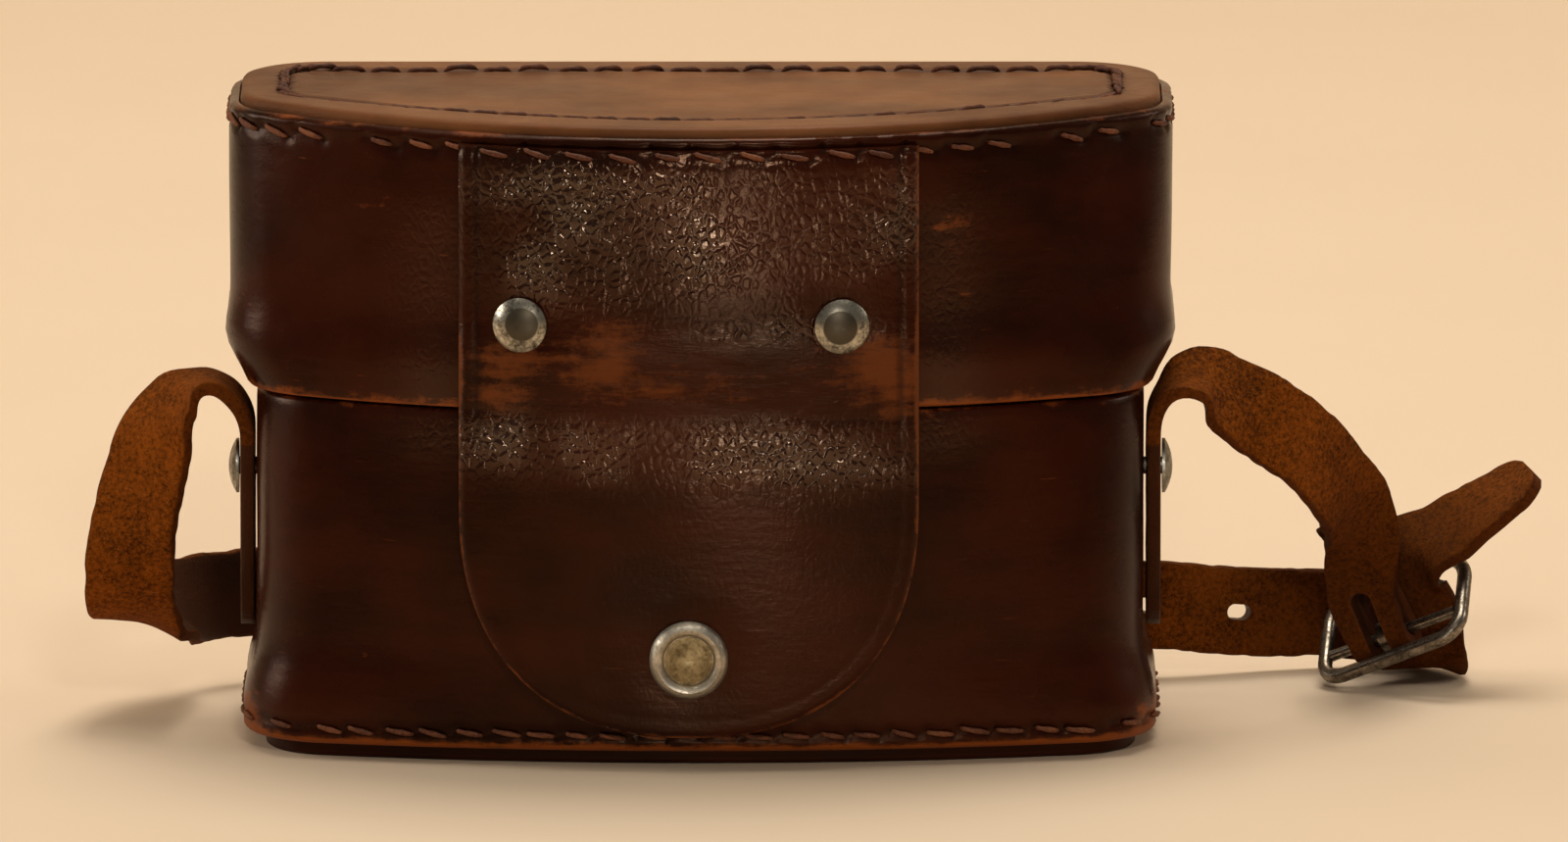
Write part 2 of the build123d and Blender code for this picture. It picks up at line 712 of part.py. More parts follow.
fold_rivet_place = short_stations[-13]
tail_face = strap_thickness * 1.5 + seat_gap * 4 + rivet_stand_off
fold_seat = Plane(origin=fold_rivet_place.middle - fold_rivet_place.flesh * tail_face,
                  x_dir=fold_rivet_place.along, z_dir=-fold_rivet_place.flesh)
with BuildPart() as strap_short:
    everything = flat_end(1, short_tail_height) + short_stations + turn_stations + tail_stations()
    loft([place.section() for place in everything], ruled=True)
    bore(side_rivet_seats[1], shank_radius + running_gap, 1, strap_thickness + 3)
    slot_middle = bar_middle + fold_way * (eye_radius - slot_length / 2) + fold_face * 3 * eye_radius
    with BuildSketch(Plane(origin=slot_middle, x_dir=bar_way, z_dir=-fold_face)):
        with Locations((prong_along_bar - fold_along_bar, 0)):
            SlotOverall(slot_length + 2 * eye_radius, slot_width, rotation=90)
    extrude(amount=6 * eye_radius, mode=Mode.SUBTRACT)
    bore(fold_seat, shank_radius + running_gap, 1, 3 * strap_thickness)
finish(strap_short, "strap_short")

# Rivet that closes the fold
with BuildPart() as fold_rivet:
    cap_on(fold_seat, fold_rivet_radius, rivet_dome, shank_radius,
           2 * strap_thickness + rivet_stand_off)
finish(fold_rivet, "fold_rivet")

# Buckle: a wire frame with round corners, its bar and its prong
with BuildPart() as buckle_frame:
    frame_plane = Plane(origin=in_buckle(buckle_length / 2, buckle_depth / 2), x_dir=bar_way,
                        z_dir=buckle_up)
    with BuildSketch(frame_plane.offset(-buckle_wire / 2)) as ring:
        with BuildSketch(mode=Mode.PRIVATE) as outer:
            Rectangle(buckle_length + buckle_wire, buckle_depth + buckle_wire)
            near = outer.vertices().group_by(Axis.Y)[0]
            fillet(near, radius=buckle_near_corner + buckle_wire / 2)
            far = outer.vertices().group_by(Axis.Y)[-1]
            fillet(far, radius=buckle_far_corner + buckle_wire / 2)
        add(outer.sketch)
        offset(outer.sketch, amount=-buckle_wire, mode=Mode.SUBTRACT)
    extrude(amount=buckle_wire)
    fillet(buckle_frame.faces().sort_by(SortBy.AREA)[-2:].edges(), radius=buckle_wire * 0.42)
finish(buckle_frame, "buckle_frame")

with BuildPart() as buckle_bar:
    bar_end = buckle_wire / 2 + seat_gap / 2
    with BuildSketch(Plane(origin=in_buckle(bar_end, bar_setback), x_dir=far_way, z_dir=bar_way)):
        Circle(bar_radius)
    extrude(amount=buckle_length - 2 * bar_end)
finish(buckle_bar, "buckle_bar")

with BuildPart() as buckle_prong:
    prong_eye = Plane(origin=in_buckle(prong_along_bar, bar_setback), x_dir=far_way, z_dir=bar_way)
    with BuildSketch(prong_eye.offset(-prong_radius)):
        Circle(eye_wire + prong_radius)
        Circle(eye_wire - prong_radius, mode=Mode.SUBTRACT)
    extrude(amount=2 * prong_radius)
    with BuildSketch(prong_hole):
        Circle(prong_radius)
    extrude(amount=(prong_bend - prong_root).length)
    with BuildSketch(Plane(origin=prong_bend, x_dir=bar_way, z_dir=far_way)):
        Circle(prong_radius)
    extrude(amount=(prong_end - prong_bend).length)
    with Locations(prong_bend, prong_end):
        Sphere(prong_radius)
finish(buckle_prong, "buckle_prong")
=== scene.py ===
"""Leather camera case: moulded leather, hand stitching, suede straps, metal fittings and light."""

import logging
import math
from dataclasses import dataclass, field
from enum import Enum
from typing import Callable, Sequence

import bpy
import numpy as np
from mathutils import Matrix, Vector, noise


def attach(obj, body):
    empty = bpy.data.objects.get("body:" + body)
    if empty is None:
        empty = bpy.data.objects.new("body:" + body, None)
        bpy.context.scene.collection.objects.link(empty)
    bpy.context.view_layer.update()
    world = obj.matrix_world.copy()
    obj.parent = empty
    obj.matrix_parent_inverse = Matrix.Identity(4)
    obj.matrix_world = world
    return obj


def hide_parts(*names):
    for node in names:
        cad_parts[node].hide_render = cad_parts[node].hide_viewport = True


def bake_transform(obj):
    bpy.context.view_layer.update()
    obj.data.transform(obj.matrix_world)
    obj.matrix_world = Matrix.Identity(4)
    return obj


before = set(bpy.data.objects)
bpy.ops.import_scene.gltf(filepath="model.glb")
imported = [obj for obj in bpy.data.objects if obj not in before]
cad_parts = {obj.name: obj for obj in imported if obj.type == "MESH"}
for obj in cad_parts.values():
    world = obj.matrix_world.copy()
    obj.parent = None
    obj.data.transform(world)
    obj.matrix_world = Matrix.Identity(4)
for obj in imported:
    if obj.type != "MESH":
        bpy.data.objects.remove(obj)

MM = 0.001
LOG = logging.getLogger("camera_case")
Array = np.ndarray
Colour = tuple[float, float, float, float]


class Body(str, Enum):
    """Bodies of the case that a piece can ride on."""

    CASE = "case_body"
    LID = "lid"
    TONGUE = "tongue"
    LONG_STRAP = "long_strap"
    SHORT_STRAP = "short_strap"


class Slot(str, Enum):
    """Finishes that the record knows."""

    CASE_LEATHER = "case_leather"
    STRAP_LEATHER = "strap_leather"


def smooth(low: float, high: float, value: Array) -> Array:
    """Ease from 0 at one value to 1 at another.

    Args:
        low: Value where the result leaves 0.
        high: Value where the result reaches 1.
        value: Values to ease.

    Returns:
        The eased shares.
    """
    share = np.clip((value - low) / (high - low), 0.0, 1.0)
    return share * share * (3 - 2 * share)


def hump(value: Array, middle: float | Array, spread: float, power: int = 2) -> Array:
    """Soft rise from 0 to 1 and back, round a value.

    Args:
        value: Values to look at.
        middle: Value at which the result is 1.
        spread: Distance from the middle at which it has fallen to about a third.
        power: How flat the top is, where 2 gives a bell.

    Returns:
        The result at each value.
    """
    return np.exp(-(((value - middle) / spread) ** power))


def grain_noise(points: Array, size: float, seed: float = 0.0) -> Array:
    """Soft unevenness of hand-worked leather.

    Args:
        points: Places in millimetres, one a row.
        size: Size of the unevenness in millimetres.
        seed: Shift that makes one pattern differ from another.

    Returns:
        Values from about -1 to 1, one for each place.
    """
    shifted = points / size + seed
    return np.array([noise.noise(Vector(point)) for point in shifted])


# Finishes


# Sockets by which a Mix node mixes colours
MIX_FIRST = 6
MIX_SECOND = 7
MIX_RESULT = 2

# Colours of the painted shade in grooves and stitch holes, of glints and of the straps' leather, with the
# straps' painted shade near the buckle
GROOVE_SHADE = (0.006, 0.002, 0.0015, 1)
LEATHER_GLINT = (1.0, 0.56, 0.36, 1)
POLISHED_GLINT = (1.0, 0.72, 0.52, 1)
SUEDE_LOW = (0.024, 0.0045, 0.0006, 1)
SUEDE_HIGH = (0.31, 0.076, 0.0055, 1)
SUEDE_SPECK = (0.45, 0.2, 0.06, 1)
SUEDE_BUCKLE_SHADE = (0.03, 0.0075, 0.0018, 1)
SUEDE_CUT = (0.05, 0.012, 0.004, 1)
STRAP_SKIN_LOW = (0.02, 0.006, 0.003, 1)
STRAP_SKIN_HIGH = (0.085, 0.024, 0.009, 1)
SUEDE_GLINT = (1.0, 0.5, 0.2, 1)


class Graph:
    """Node graph of one finish."""

    def __init__(self, name: str) -> None:
        """Start a finish.

        Args:
            name: Name of the finish.
        """
        self.material = bpy.data.materials.new(name)
        self.material.use_nodes = True
        self.tree = self.material.node_tree
        self.shader = self.tree.nodes["Principled BSDF"]
        self.place = self.tree.nodes.new("ShaderNodeTexCoord").outputs["Object"]

    def put(self, socket: bpy.types.NodeSocket, value: object) -> None:
        """Feed a socket from another socket, or set its number or colour.

        Args:
            socket: Input to feed.
            value: Output to link to it, or the value to give it.
        """
        if isinstance(value, bpy.types.NodeSocket):
            self.tree.links.new(value, socket)
        else:
            socket.default_value = value

    def add(self, kind: str, settings: dict, inputs: dict) -> bpy.types.Node:
        """Add a node.

        Args:
            kind: Blender's name of the node type.
            settings: Properties of the node.
            inputs: Values or sockets for its inputs, by name or number.

        Returns:
            The new node.
        """
        node = self.tree.nodes.new(kind)
        for key, value in settings.items():
            setattr(node, key, value)
        for key, value in inputs.items():
            self.put(node.inputs[key], value)
        return node

    def attribute(self, name: str) -> bpy.types.NodeSocket:
        """Value that a mesh carries at each vertex."""
        return self.add("ShaderNodeAttribute", {"attribute_name": name}, {}).outputs["Fac"]

    def stretched(self, scale: Sequence[float]) -> bpy.types.NodeSocket:
        """Object place, scaled differently along each axis."""
        return self.add("ShaderNodeMapping", {}, {"Vector": self.place, "Scale": scale}).outputs[0]

    def noise(self, scale: float, detail: float = 4.0, rough: float = 0.55, place: object = None) -> object:
        """Noise value at a scale in features a metre."""
        inputs = {"Vector": place or self.place, "Scale": scale, "Detail": detail, "Roughness": rough}
        return self.add("ShaderNodeTexNoise", {}, inputs).outputs["Fac"]

    def cells(self, scale: float, place: object = None) -> bpy.types.NodeSocket:
        """Flat grain cells of 1 with narrow cracks of 0 between them.

        Args:
            scale: Cells a metre.
            place: Place to read, or nothing for the object's own.

        Returns:
            Height of the cells.
        """
        inputs = {"Vector": place or self.place, "Scale": scale}
        node = self.add("ShaderNodeTexVoronoi", {"feature": "DISTANCE_TO_EDGE"}, inputs)
        return self.ramp(node.outputs["Distance"], 0.0, 0.3)

    def jitter(self, scale: float, much: float) -> bpy.types.NodeSocket:
        """Small uneven shift of a place.

        Args:
            scale: Waves of the shift a metre.
            much: Size of the shift in metres.

        Returns:
            The shift as a vector.
        """
        inputs = {"Vector": self.place, "Scale": scale, "Detail": 2.0}
        cloud = self.add("ShaderNodeTexNoise", {}, inputs)
        inputs = {0: cloud.outputs["Color"], 1: (0.5, 0.5, 0.5)}
        middle = self.add("ShaderNodeVectorMath", {"operation": "SUBTRACT"}, inputs)
        return self.add("ShaderNodeVectorMath", {"operation": "SCALE"},
                        {0: middle.outputs[0], "Scale": much}).outputs[0]

    def ramp(self, value: object, low: float, high: float) -> bpy.types.NodeSocket:
        """Ease a value from 0 to 1 between two limits."""
        inputs = {"Value": value, "From Min": low, "From Max": high}
        return self.add("ShaderNodeMapRange", {"interpolation_type": "SMOOTHSTEP"}, inputs).outputs[0]

    def combine(self, kind: str, first: object, second: object) -> bpy.types.NodeSocket:
        """Combine two values by an arithmetic operation."""
        return self.add("ShaderNodeMath", {"operation": kind}, {0: first, 1: second}).outputs[0]

    def plus(self, first: object, second: object) -> bpy.types.NodeSocket:
        """Sum of two values."""
        return self.combine("ADD", first, second)

    def minus(self, first: object, second: object) -> bpy.types.NodeSocket:
        """First value less the second."""
        return self.combine("SUBTRACT", first, second)

    def times(self, first: object, second: object) -> bpy.types.NodeSocket:
        """Product of two values."""
        return self.combine("MULTIPLY", first, second)

    def larger(self, first: object, second: object) -> bpy.types.NodeSocket:
        """Larger of two values."""
        return self.combine("MAXIMUM", first, second)

    def blend(self, share: object, first: object, second: object) -> bpy.types.NodeSocket:
        """Mix two colours.

        Args:
            share: Share of the second colour.
            first: Colour at a share of 0.
            second: Colour at a share of 1.

        Returns:
            The mixed colour.
        """
        inputs = {0: share, MIX_FIRST: first, MIX_SECOND: second}
        return self.add("ShaderNodeMix", {"data_type": "RGBA"}, inputs).outputs[MIX_RESULT]

    def bump(self, height: object, strength: float, depth: float, under: object = None) -> object:
        """Raise a surface by a height value.

        Args:
            height: Height from 0 to 1.
            strength: Strength of the relief.
            depth: Depth of the relief in metres.
            under: Relief that this one lies on.

        Returns:
            The surface's direction.
        """
        inputs = {"Height": height, "Strength": strength, "Distance": depth}
        if under is not None:
            inputs["Normal"] = under
        return self.add("ShaderNodeBump", {}, inputs).outputs[0]

    def shade(self, inputs: dict) -> bpy.types.Material:
        """Set the shader's inputs.

        Args:
            inputs: Values or sockets, by the input's name.

        Returns:
            The finished material.
        """
        for key, value in inputs.items():
            self.put(self.shader.inputs[key], value)
        return self.material


@dataclass(frozen=True)
class PolishedLeather:
    """Dark polished hide, rubbed through to its orange core where an attribute says so."""

    name: str
    deep: Colour = (0.0065, 0.0011, 0.0004, 1)
    warm: Colour = (0.034, 0.0055, 0.0017, 1)
    rubbed: Colour = (0.2, 0.046, 0.007, 1)
    gloss: float = 0.24
    pebble: float = 0.3

    def rubbing(self, graph: Graph) -> bpy.types.NodeSocket:
        """Where the hide is rubbed through or scratched.

        Args:
            graph: Graph of the finish.

        Returns:
            Share of the rubbed colour.
        """
        worn = graph.attribute("worn")
        patches = graph.noise(260.0, 6.0, 0.7)
        specks = graph.noise(1500.0, 3.0, 0.7)
        lines = graph.noise(1.0, 5.0, 0.65, graph.stretched((110.0, 300.0, 620.0)))
        mask = worn
        for pattern, middle, much in ((patches, 0.55, 1.1), (specks, 0.5, 0.35), (lines, 0.52, 1.5)):
            mask = graph.plus(mask, graph.times(graph.minus(pattern, middle), much))
        mask = graph.times(graph.ramp(mask, 0.32, 0.92), graph.ramp(worn, 0.02, 0.3))
        scratch = graph.noise(1.0, 3.0, 0.6, graph.stretched((60.0, 300.0, 1500.0)))
        return graph.larger(mask, graph.times(graph.ramp(scratch, 0.71, 0.78), 0.35))

    def relief(self, graph: Graph, polish: bpy.types.NodeSocket) -> bpy.types.NodeSocket:
        """Grain cells, pores, creases and soft waves of the hide.

        Args:
            graph: Graph of the finish.
            polish: How polished the hide is.

        Returns:
            The surface's direction.
        """
        inputs = {0: graph.stretched((1.0, 1.0, 0.7)), 1: graph.jitter(500.0, 0.0012)}
        shifted = graph.add("ShaderNodeVectorMath", {"operation": "ADD"}, inputs).outputs[0]
        pebbles = graph.times(graph.cells(820.0, shifted), graph.plus(polish, 0.04))
        creases = graph.noise(1.0, 6.0, 0.62, graph.stretched((150.0, 260.0, 700.0)))
        crumple = graph.times(creases, graph.attribute("creased"))
        normal = graph.bump(pebbles, self.pebble, 0.00022)
        normal = graph.bump(graph.noise(2600.0, 3.0, 0.6), 0.22, 0.00005, normal)
        normal = graph.bump(crumple, 0.7, 0.0007, normal)
        return graph.bump(graph.noise(90.0, 2.0), 0.12, 0.0002, normal)

    def build(self) -> bpy.types.Material:
        """Make the material.

        Returns:
            The finish.
        """
        graph = Graph(self.name)
        clouds = graph.noise(38.0, 5.0)
        streaks = graph.noise(1.0, 4.0, place=graph.stretched((22.0, 60.0, 95.0)))
        tone = graph.ramp(graph.plus(clouds, graph.times(streaks, 0.7)), 0.55, 1.15)
        skin = graph.blend(tone, self.deep, self.warm)
        mask = self.rubbing(graph)
        colour = graph.blend(mask, skin, self.rubbed)
        # Painted shade: darkens the hide in the grooves and stitch holes, where the groove attribute says
        # so
        colour = graph.blend(graph.times(graph.attribute("groove"), 0.85), colour, GROOVE_SHADE)
        polish = graph.attribute("polish")
        normal = self.relief(graph, polish)
        haze = graph.times(graph.noise(85.0, 5.0, 0.65), 0.34)
        rough = graph.plus(haze, self.gloss - 0.14)
        rough = graph.plus(rough, graph.times(mask, 0.22))
        rough = graph.minus(rough, graph.times(polish, 0.12))
        tint = graph.blend(polish, LEATHER_GLINT, POLISHED_GLINT)
        mirror = graph.plus(graph.times(polish, 0.7), 0.2)
        return graph.shade({"Base Color": colour, "Roughness": rough, "Normal": normal,
                            "Specular IOR Level": mirror, "Specular Tint": tint})


@dataclass(frozen=True)
class StrapLeather:
    """Strap hide: napped orange flesh side, dark polished grain side and fibrous cut edges."""

    name: str = "strap_suede"

    def build(self) -> bpy.types.Material:
        """Make the material.

        Returns:
            The finish.
        """
        graph = Graph(self.name)
        flesh = graph.ramp(graph.attribute("flesh"), 0.35, 0.65)
        nap = graph.noise(1500.0, 6.0, 0.78)
        clouds = graph.noise(95.0, 5.0, 0.65)
        tone = graph.ramp(graph.plus(nap, graph.times(clouds, 0.4)), 0.46, 0.9)
        suede = graph.blend(tone, SUEDE_LOW, SUEDE_HIGH)
        pale = graph.ramp(graph.noise(2400.0, 3.0, 0.75), 0.6, 0.72)
        suede = graph.blend(graph.times(pale, 0.5), suede, SUEDE_SPECK)
        # Painted shade: darkens the straps near the buckle
        handled = graph.times(graph.attribute("handled"), 0.7)
        suede = graph.blend(handled, suede, SUEDE_BUCKLE_SHADE)
        cut_edge = graph.times(graph.attribute("core"), 0.55)
        suede = graph.blend(cut_edge, suede, SUEDE_CUT)
        skin = graph.blend(graph.noise(60.0, 4.0), STRAP_SKIN_LOW, STRAP_SKIN_HIGH)
        colour = graph.blend(flesh, skin, suede)
        normal = graph.bump(nap, 0.9, 0.0005)
        normal = graph.bump(graph.noise(3600.0, 3.0, 0.75), 0.7, 0.00025, normal)
        rough = graph.plus(graph.times(flesh, 0.5), 0.36)
        return graph.shade({"Base Color": colour, "Roughness": rough, "Normal": normal,
                            "Specular IOR Level": 0.14, "Specular Tint": SUEDE_GLINT})


@dataclass(frozen=True)
class TwistedThread:
    """Waxed linen thread, dark in its grooves."""

    name: str
    pale: Colour = (0.21, 0.068, 0.025, 1)
    dark: Colour = (0.05, 0.013, 0.005, 1)

    def build(self) -> bpy.types.Material:
        """Make the material.

        Returns:
            The finish.
        """
        graph = Graph(self.name)
        fibres = graph.noise(2400.0, 4.0, 0.7)
        clouds = graph.noise(140.0, 3.0)
        tone = graph.ramp(graph.plus(fibres, clouds), 0.7, 1.35)
        colour = graph.blend(tone, self.dark, self.pale)
        return graph.shade({"Base Color": colour, "Roughness": 0.62,
                            "Normal": graph.bump(fibres, 0.5, 0.0001), "Specular IOR Level": 0.22})


@dataclass(frozen=True)
class TarnishedMetal:
    """Plated metal, dulled by handling, and darker round given centres."""

    name: str
    bright: Colour
    dull: Colour
    gloss: float = 0.22
    centres: tuple = ()
    inner: float = 0.0027
    outer: float = 0.0032

    def build(self) -> bpy.types.Material:
        """Make the material.

        Returns:
            The finish.
        """
        graph = Graph(self.name)
        stain = graph.noise(520.0, 6.0, 0.7)
        spots = graph.noise(1900.0, 3.0, 0.6)
        share = graph.ramp(graph.plus(stain, graph.times(spots, 0.4)), 0.48, 0.95)
        for centre in self.centres:
            apart = graph.add("ShaderNodeVectorMath", {"operation": "DISTANCE"},
                              {0: graph.place, 1: centre}).outputs["Value"]
            spot = graph.minus(1.0, graph.ramp(apart, self.inner, self.outer))
            share = graph.larger(share, graph.times(spot, 0.92))
        colour = graph.blend(share, self.bright, self.dull)
        rough = graph.plus(graph.times(share, 0.3), self.gloss)
        scratch = graph.noise(1.0, 3.0, 0.6, graph.stretched((400.0, 900.0, 3000.0)))
        return graph.shade({"Base Color": colour, "Metallic": 1.0, "Roughness": rough,
                            "Normal": graph.bump(scratch, 0.12, 0.00008)})


@dataclass(frozen=True)
class NappedLining:
    """Short velvety cloth, or the fibre board below it."""

    name: str
    low: Colour
    high: Colour

    def build(self) -> bpy.types.Material:
        """Make the material.

        Returns:
            The finish.
        """
        graph = Graph(self.name)
        nap = graph.noise(1800.0, 5.0, 0.75)
        colour = graph.blend(graph.times(graph.noise(70.0), nap), self.low, self.high)
        return graph.shade({"Base Color": colour, "Roughness": 0.95, "Sheen Weight": 0.06,
                            "Specular IOR Level": 0.15, "Normal": graph.bump(nap, 0.6, 0.0003)})


# Mesh tools


def surface_grid(name: str, columns: int, rows: int) -> bpy.types.Object:
    """Add a flat grid of faces, ready to be shaped.

    Args:
        name: Name of the piece.
        columns: Faces along the grid.
        rows: Faces up the grid.

    Returns:
        The new piece, with nothing else selected.
    """
    bpy.ops.object.select_all(action="DESELECT")
    bpy.ops.mesh.primitive_grid_add(x_subdivisions=columns, y_subdivisions=rows, size=1)
    piece = bpy.context.object
    piece.name = name
    piece.data.name = name
    return piece


def grid_shares(piece: bpy.types.Object) -> tuple[Array, Array]:
    """Read where each vertex of a fresh grid lies.

    Args:
        piece: Grid that isn't shaped yet.

    Returns:
        Shares along and up the grid, one of each for each vertex.
    """
    flat = np.empty(len(piece.data.vertices) * 3)
    piece.data.vertices.foreach_get("co", flat)
    flat = flat.reshape(-1, 3)
    return flat[:, 0] + 0.5, flat[:, 1] + 0.5


def section_rows(level: Array, section: list[tuple]) -> list[Array]:
    """Look up the row of a section that each vertex of a grid belongs to.

    Args:
        level: Shares up the grid.
        section: Rows of the section, in the order of the grid.

    Returns:
        The section's columns, each with one value for each vertex.
    """
    index = np.rint(level * (len(section) - 1)).astype(int)
    table = np.array(section)
    return [table[index, column] for column in range(table.shape[1])]


def set_places(piece: bpy.types.Object, points: Array) -> None:
    """Move every vertex of a piece.

    Args:
        piece: Piece to shape.
        points: New places in millimetres, one a row.
    """
    piece.data.vertices.foreach_set("co", (points * MM).ravel())
    piece.data.update()


def mark(piece: bpy.types.Object, **shares: Array) -> None:
    """Give each vertex of a piece the values that its finish reads.

    Args:
        piece: Piece to mark.
        shares: Values for each vertex, by the name that the finish knows.
    """
    for name, values in shares.items():
        layer = piece.data.attributes.new(name, "FLOAT", "POINT")
        layer.data.foreach_set("value", np.asarray(values, dtype=np.float32))


def close_up(piece: bpy.types.Object, smooth_angle: float = 40.0) -> None:
    """Merge a shaped grid's meeting edges, turn its faces outward and smooth it.

    Args:
        piece: Piece whose grid is closed.
        smooth_angle: Angle in degrees above which an edge stays sharp.
    """
    bpy.ops.object.select_all(action="DESELECT")
    piece.select_set(True)
    bpy.context.view_layer.objects.active = piece
    bpy.ops.object.mode_set(mode="EDIT")
    bpy.ops.mesh.select_all(action="SELECT")
    bpy.ops.mesh.remove_doubles(threshold=2e-6)
    bpy.ops.mesh.normals_make_consistent(inside=False)
    bpy.ops.object.mode_set(mode="OBJECT")
    bpy.ops.object.shade_smooth_by_angle(angle=math.radians(smooth_angle))


def dress(piece: bpy.types.Object, material: bpy.types.Material) -> bpy.types.Object:
    """Give a piece its one finish.

    Args:
        piece: Piece to dress.
        material: Its finish.

    Returns:
        The piece.
    """
    piece.data.materials.clear()
    piece.data.materials.append(material)
    return piece


def cap_ends() -> None:
    """Close the open ends of the active piece with faces."""
    bpy.ops.object.mode_set(mode="EDIT")
    bpy.ops.mesh.select_mode(type="EDGE")
    bpy.ops.mesh.select_all(action="DESELECT")
    bpy.ops.mesh.select_non_manifold()
    bpy.ops.mesh.edge_face_add()
    bpy.ops.mesh.select_all(action="SELECT")
    bpy.ops.mesh.normals_make_consistent(inside=False)
    bpy.ops.object.mode_set(mode="OBJECT")


def cut_hole(piece: bpy.types.Object, cutter: bpy.types.Object) -> None:
    """Cut one closed shape out of a piece and remove the cutter.

    Args:
        piece: Piece that is cut.
        cutter: Closed shape, which is removed.
    """
    bpy.ops.object.select_all(action="DESELECT")
    piece.select_set(True)
    bpy.context.view_layer.objects.active = piece
    cut = piece.modifiers.new("hole", "BOOLEAN")
    cut.object = cutter
    cut.solver = "EXACT"
    bpy.ops.object.modifier_apply(modifier=cut.name)
    bpy.data.objects.remove(cutter)


def punch(place: Matrix, radius: float, depth: float, length: float = 0.0) -> bpy.types.Object:
    """Round or oval punch for a hole.

    Args:
        place: Matrix of the hole, whose Z runs through the leather, in metres.
        radius: Radius in millimetres.
        depth: Length through the leather in millimetres.
        length: How much longer than round the hole is along X, in millimetres.

    Returns:
        The punch.
    """
    bpy.ops.object.select_all(action="DESELECT")
    bpy.ops.mesh.primitive_cylinder_add(vertices=32, radius=radius * MM, depth=depth * MM)
    tool = bpy.context.object
    for vertex in tool.data.vertices:
        vertex.co.x += math.copysign(length / 2 * MM, vertex.co.x) if length else 0.0
    tool.data.transform(place)
    return tool


# Outline of the case


@dataclass(frozen=True)
class Shell:
    """Outline of the case against height: flat back, round corners and a bowed front."""

    heights: tuple
    half_widths: tuple
    crowns: tuple
    bows: tuple
    back: float
    corner: float = 14.0
    evening: float = 1.6
    breaks: tuple = (0.0, 0.272, 0.394, 0.546, 0.626, 1.0)
    round_length: float = 361.0

    def level(self, z: Array) -> tuple[Array, Array, Array]:
        """Read the outline's measures, evened out between the levels.

        Args:
            z: Heights in millimetres.

        Returns:
            Half width, crown and bow at each height.
        """
        steps = (-1, -0.5, 0, 0.5, 1)
        found = []
        for values in (self.half_widths, self.crowns, self.bows):
            near = [np.interp(z + step * self.evening, self.heights, values) for step in steps]
            found.append(sum(near) / len(near))
        return found[0], found[1], found[2]

    def point(self, share: Array, z: Array, out: Array) -> Array:
        """Places on the outline.

        Args:
            share: Share of the way round, from the middle of the back over the left side.
            z: Heights in millimetres.
            out: Distances outside the surface in millimetres.

        Returns:
            Places in millimetres, one a row.
        """
        share = share % 1.0
        half_width, crown, bow = self.level(z)
        half_width, crown, bow = half_width + out, crown + out, bow + out
        corner = self.corner + out
        rear = self.back + out
        centre = bow - crown
        corner_x = half_width - corner
        corner_y = centre - np.sqrt((bow - corner) ** 2 - corner_x**2)
        touch = np.arctan2(corner_y - centre, corner_x)
        side = np.where(share < 0.5, -1.0, 1.0)
        along = np.where(share < 0.5, 2 * share, 2 - 2 * share)
        x, y = np.zeros_like(along), np.zeros_like(along)
        for index, (low, high) in enumerate(zip(self.breaks, self.breaks[1:])):
            here = (along >= low) & (along <= high)
            q = (along - low) / (high - low)
            if index == 0:
                new_x, new_y = q * corner_x, rear + 0 * q
            elif index == 1:
                angle = (1 - q) * math.pi / 2
                new_x, new_y = corner_x + corner * np.cos(angle), rear - corner + corner * np.sin(angle)
            elif index == 2:
                new_x, new_y = half_width + 0 * q, rear - corner + q * (corner_y - rear + corner)
            elif index == 3:
                new_x, new_y = corner_x + corner * np.cos(q * touch), corner_y + corner * np.sin(q * touch)
            else:
                angle = touch + q * (-math.pi / 2 - touch)
                new_x, new_y = bow * np.cos(angle), centre + bow * np.sin(angle)
            x, y = np.where(here, new_x, x), np.where(here, new_y, y)
        return np.stack([side * x, y, z + 0 * x], axis=1)

    def spot(self, share: float, z: float) -> Array:
        """Place of one point on the outline, in millimetres."""
        return self.point(np.array([share]), np.array([z]), np.array([0.0]))[0]

    def front(self, x: Array, z: Array, out: float) -> Array:
        """Depth of the bowed front at places seen from the front."""
        _, crown, bow = self.level(z)
        return bow - crown - np.sqrt((bow + out) ** 2 - x**2)

    def frame_at(self, share: float, z: float, out: float) -> tuple[Vector, Vector, Vector, Vector]:
        """Find how the outline lies at one point.

        Args:
            share: Share of the way round.
            z: Height in millimetres.
            out: Distance outside the surface in millimetres.

        Returns:
            Place, direction round, direction up and outward direction.
        """
        step = 0.0008
        spots = self.point(np.array([share, share - step, share + step, share, share]),
                           np.array([z, z, z, z - 0.5, z + 0.5]), np.full(5, out))
        middle = Vector(spots[0])
        along = (Vector(spots[2]) - Vector(spots[1])).normalized()
        upward = (Vector(spots[4]) - Vector(spots[3])).normalized()
        return middle, along, upward, along.cross(upward).normalized()


BODY_SHELL = Shell(
    heights=(2.2, 7.0, 9.8, 12.2, 15.0, 51.0), half_widths=(65.2, 65.2, 64.63, 63.77, 63.2, 63.2),
    crowns=(30.0, 30.0, 30.0, 30.0, 30.0, 30.0), bows=(240.0, 240.0, 223.0, 209.0, 192.0, 125.0), back=30.0)
LID_SHELL = Shell(
    heights=(51.4, 53.05, 58.0, 60.1, 62.2, 64.0, 87.0, 90.6),
    half_widths=(64.1, 65.1, 68.0, 67.73, 67.24, 67.03, 67.2, 67.2),
    crowns=(30.9, 31.1, 31.68, 31.52, 31.23, 31.1, 31.0, 31.0),
    bows=(125.9, 123.9, 118.0, 115.5, 113.1, 111.0, 94.0, 94.0), back=30.9)

# The tongue, whose lower edge is a rounded half oval
TONGUE_MIDDLE = -1.6
TONGUE_HALF = 32.6
TONGUE_SKIN = 2.2
TONGUE_OFF_LID = 2.25
TIP_TOP = 37.9
TIP_DROP = 33.0
TIP_POWER = 2.33

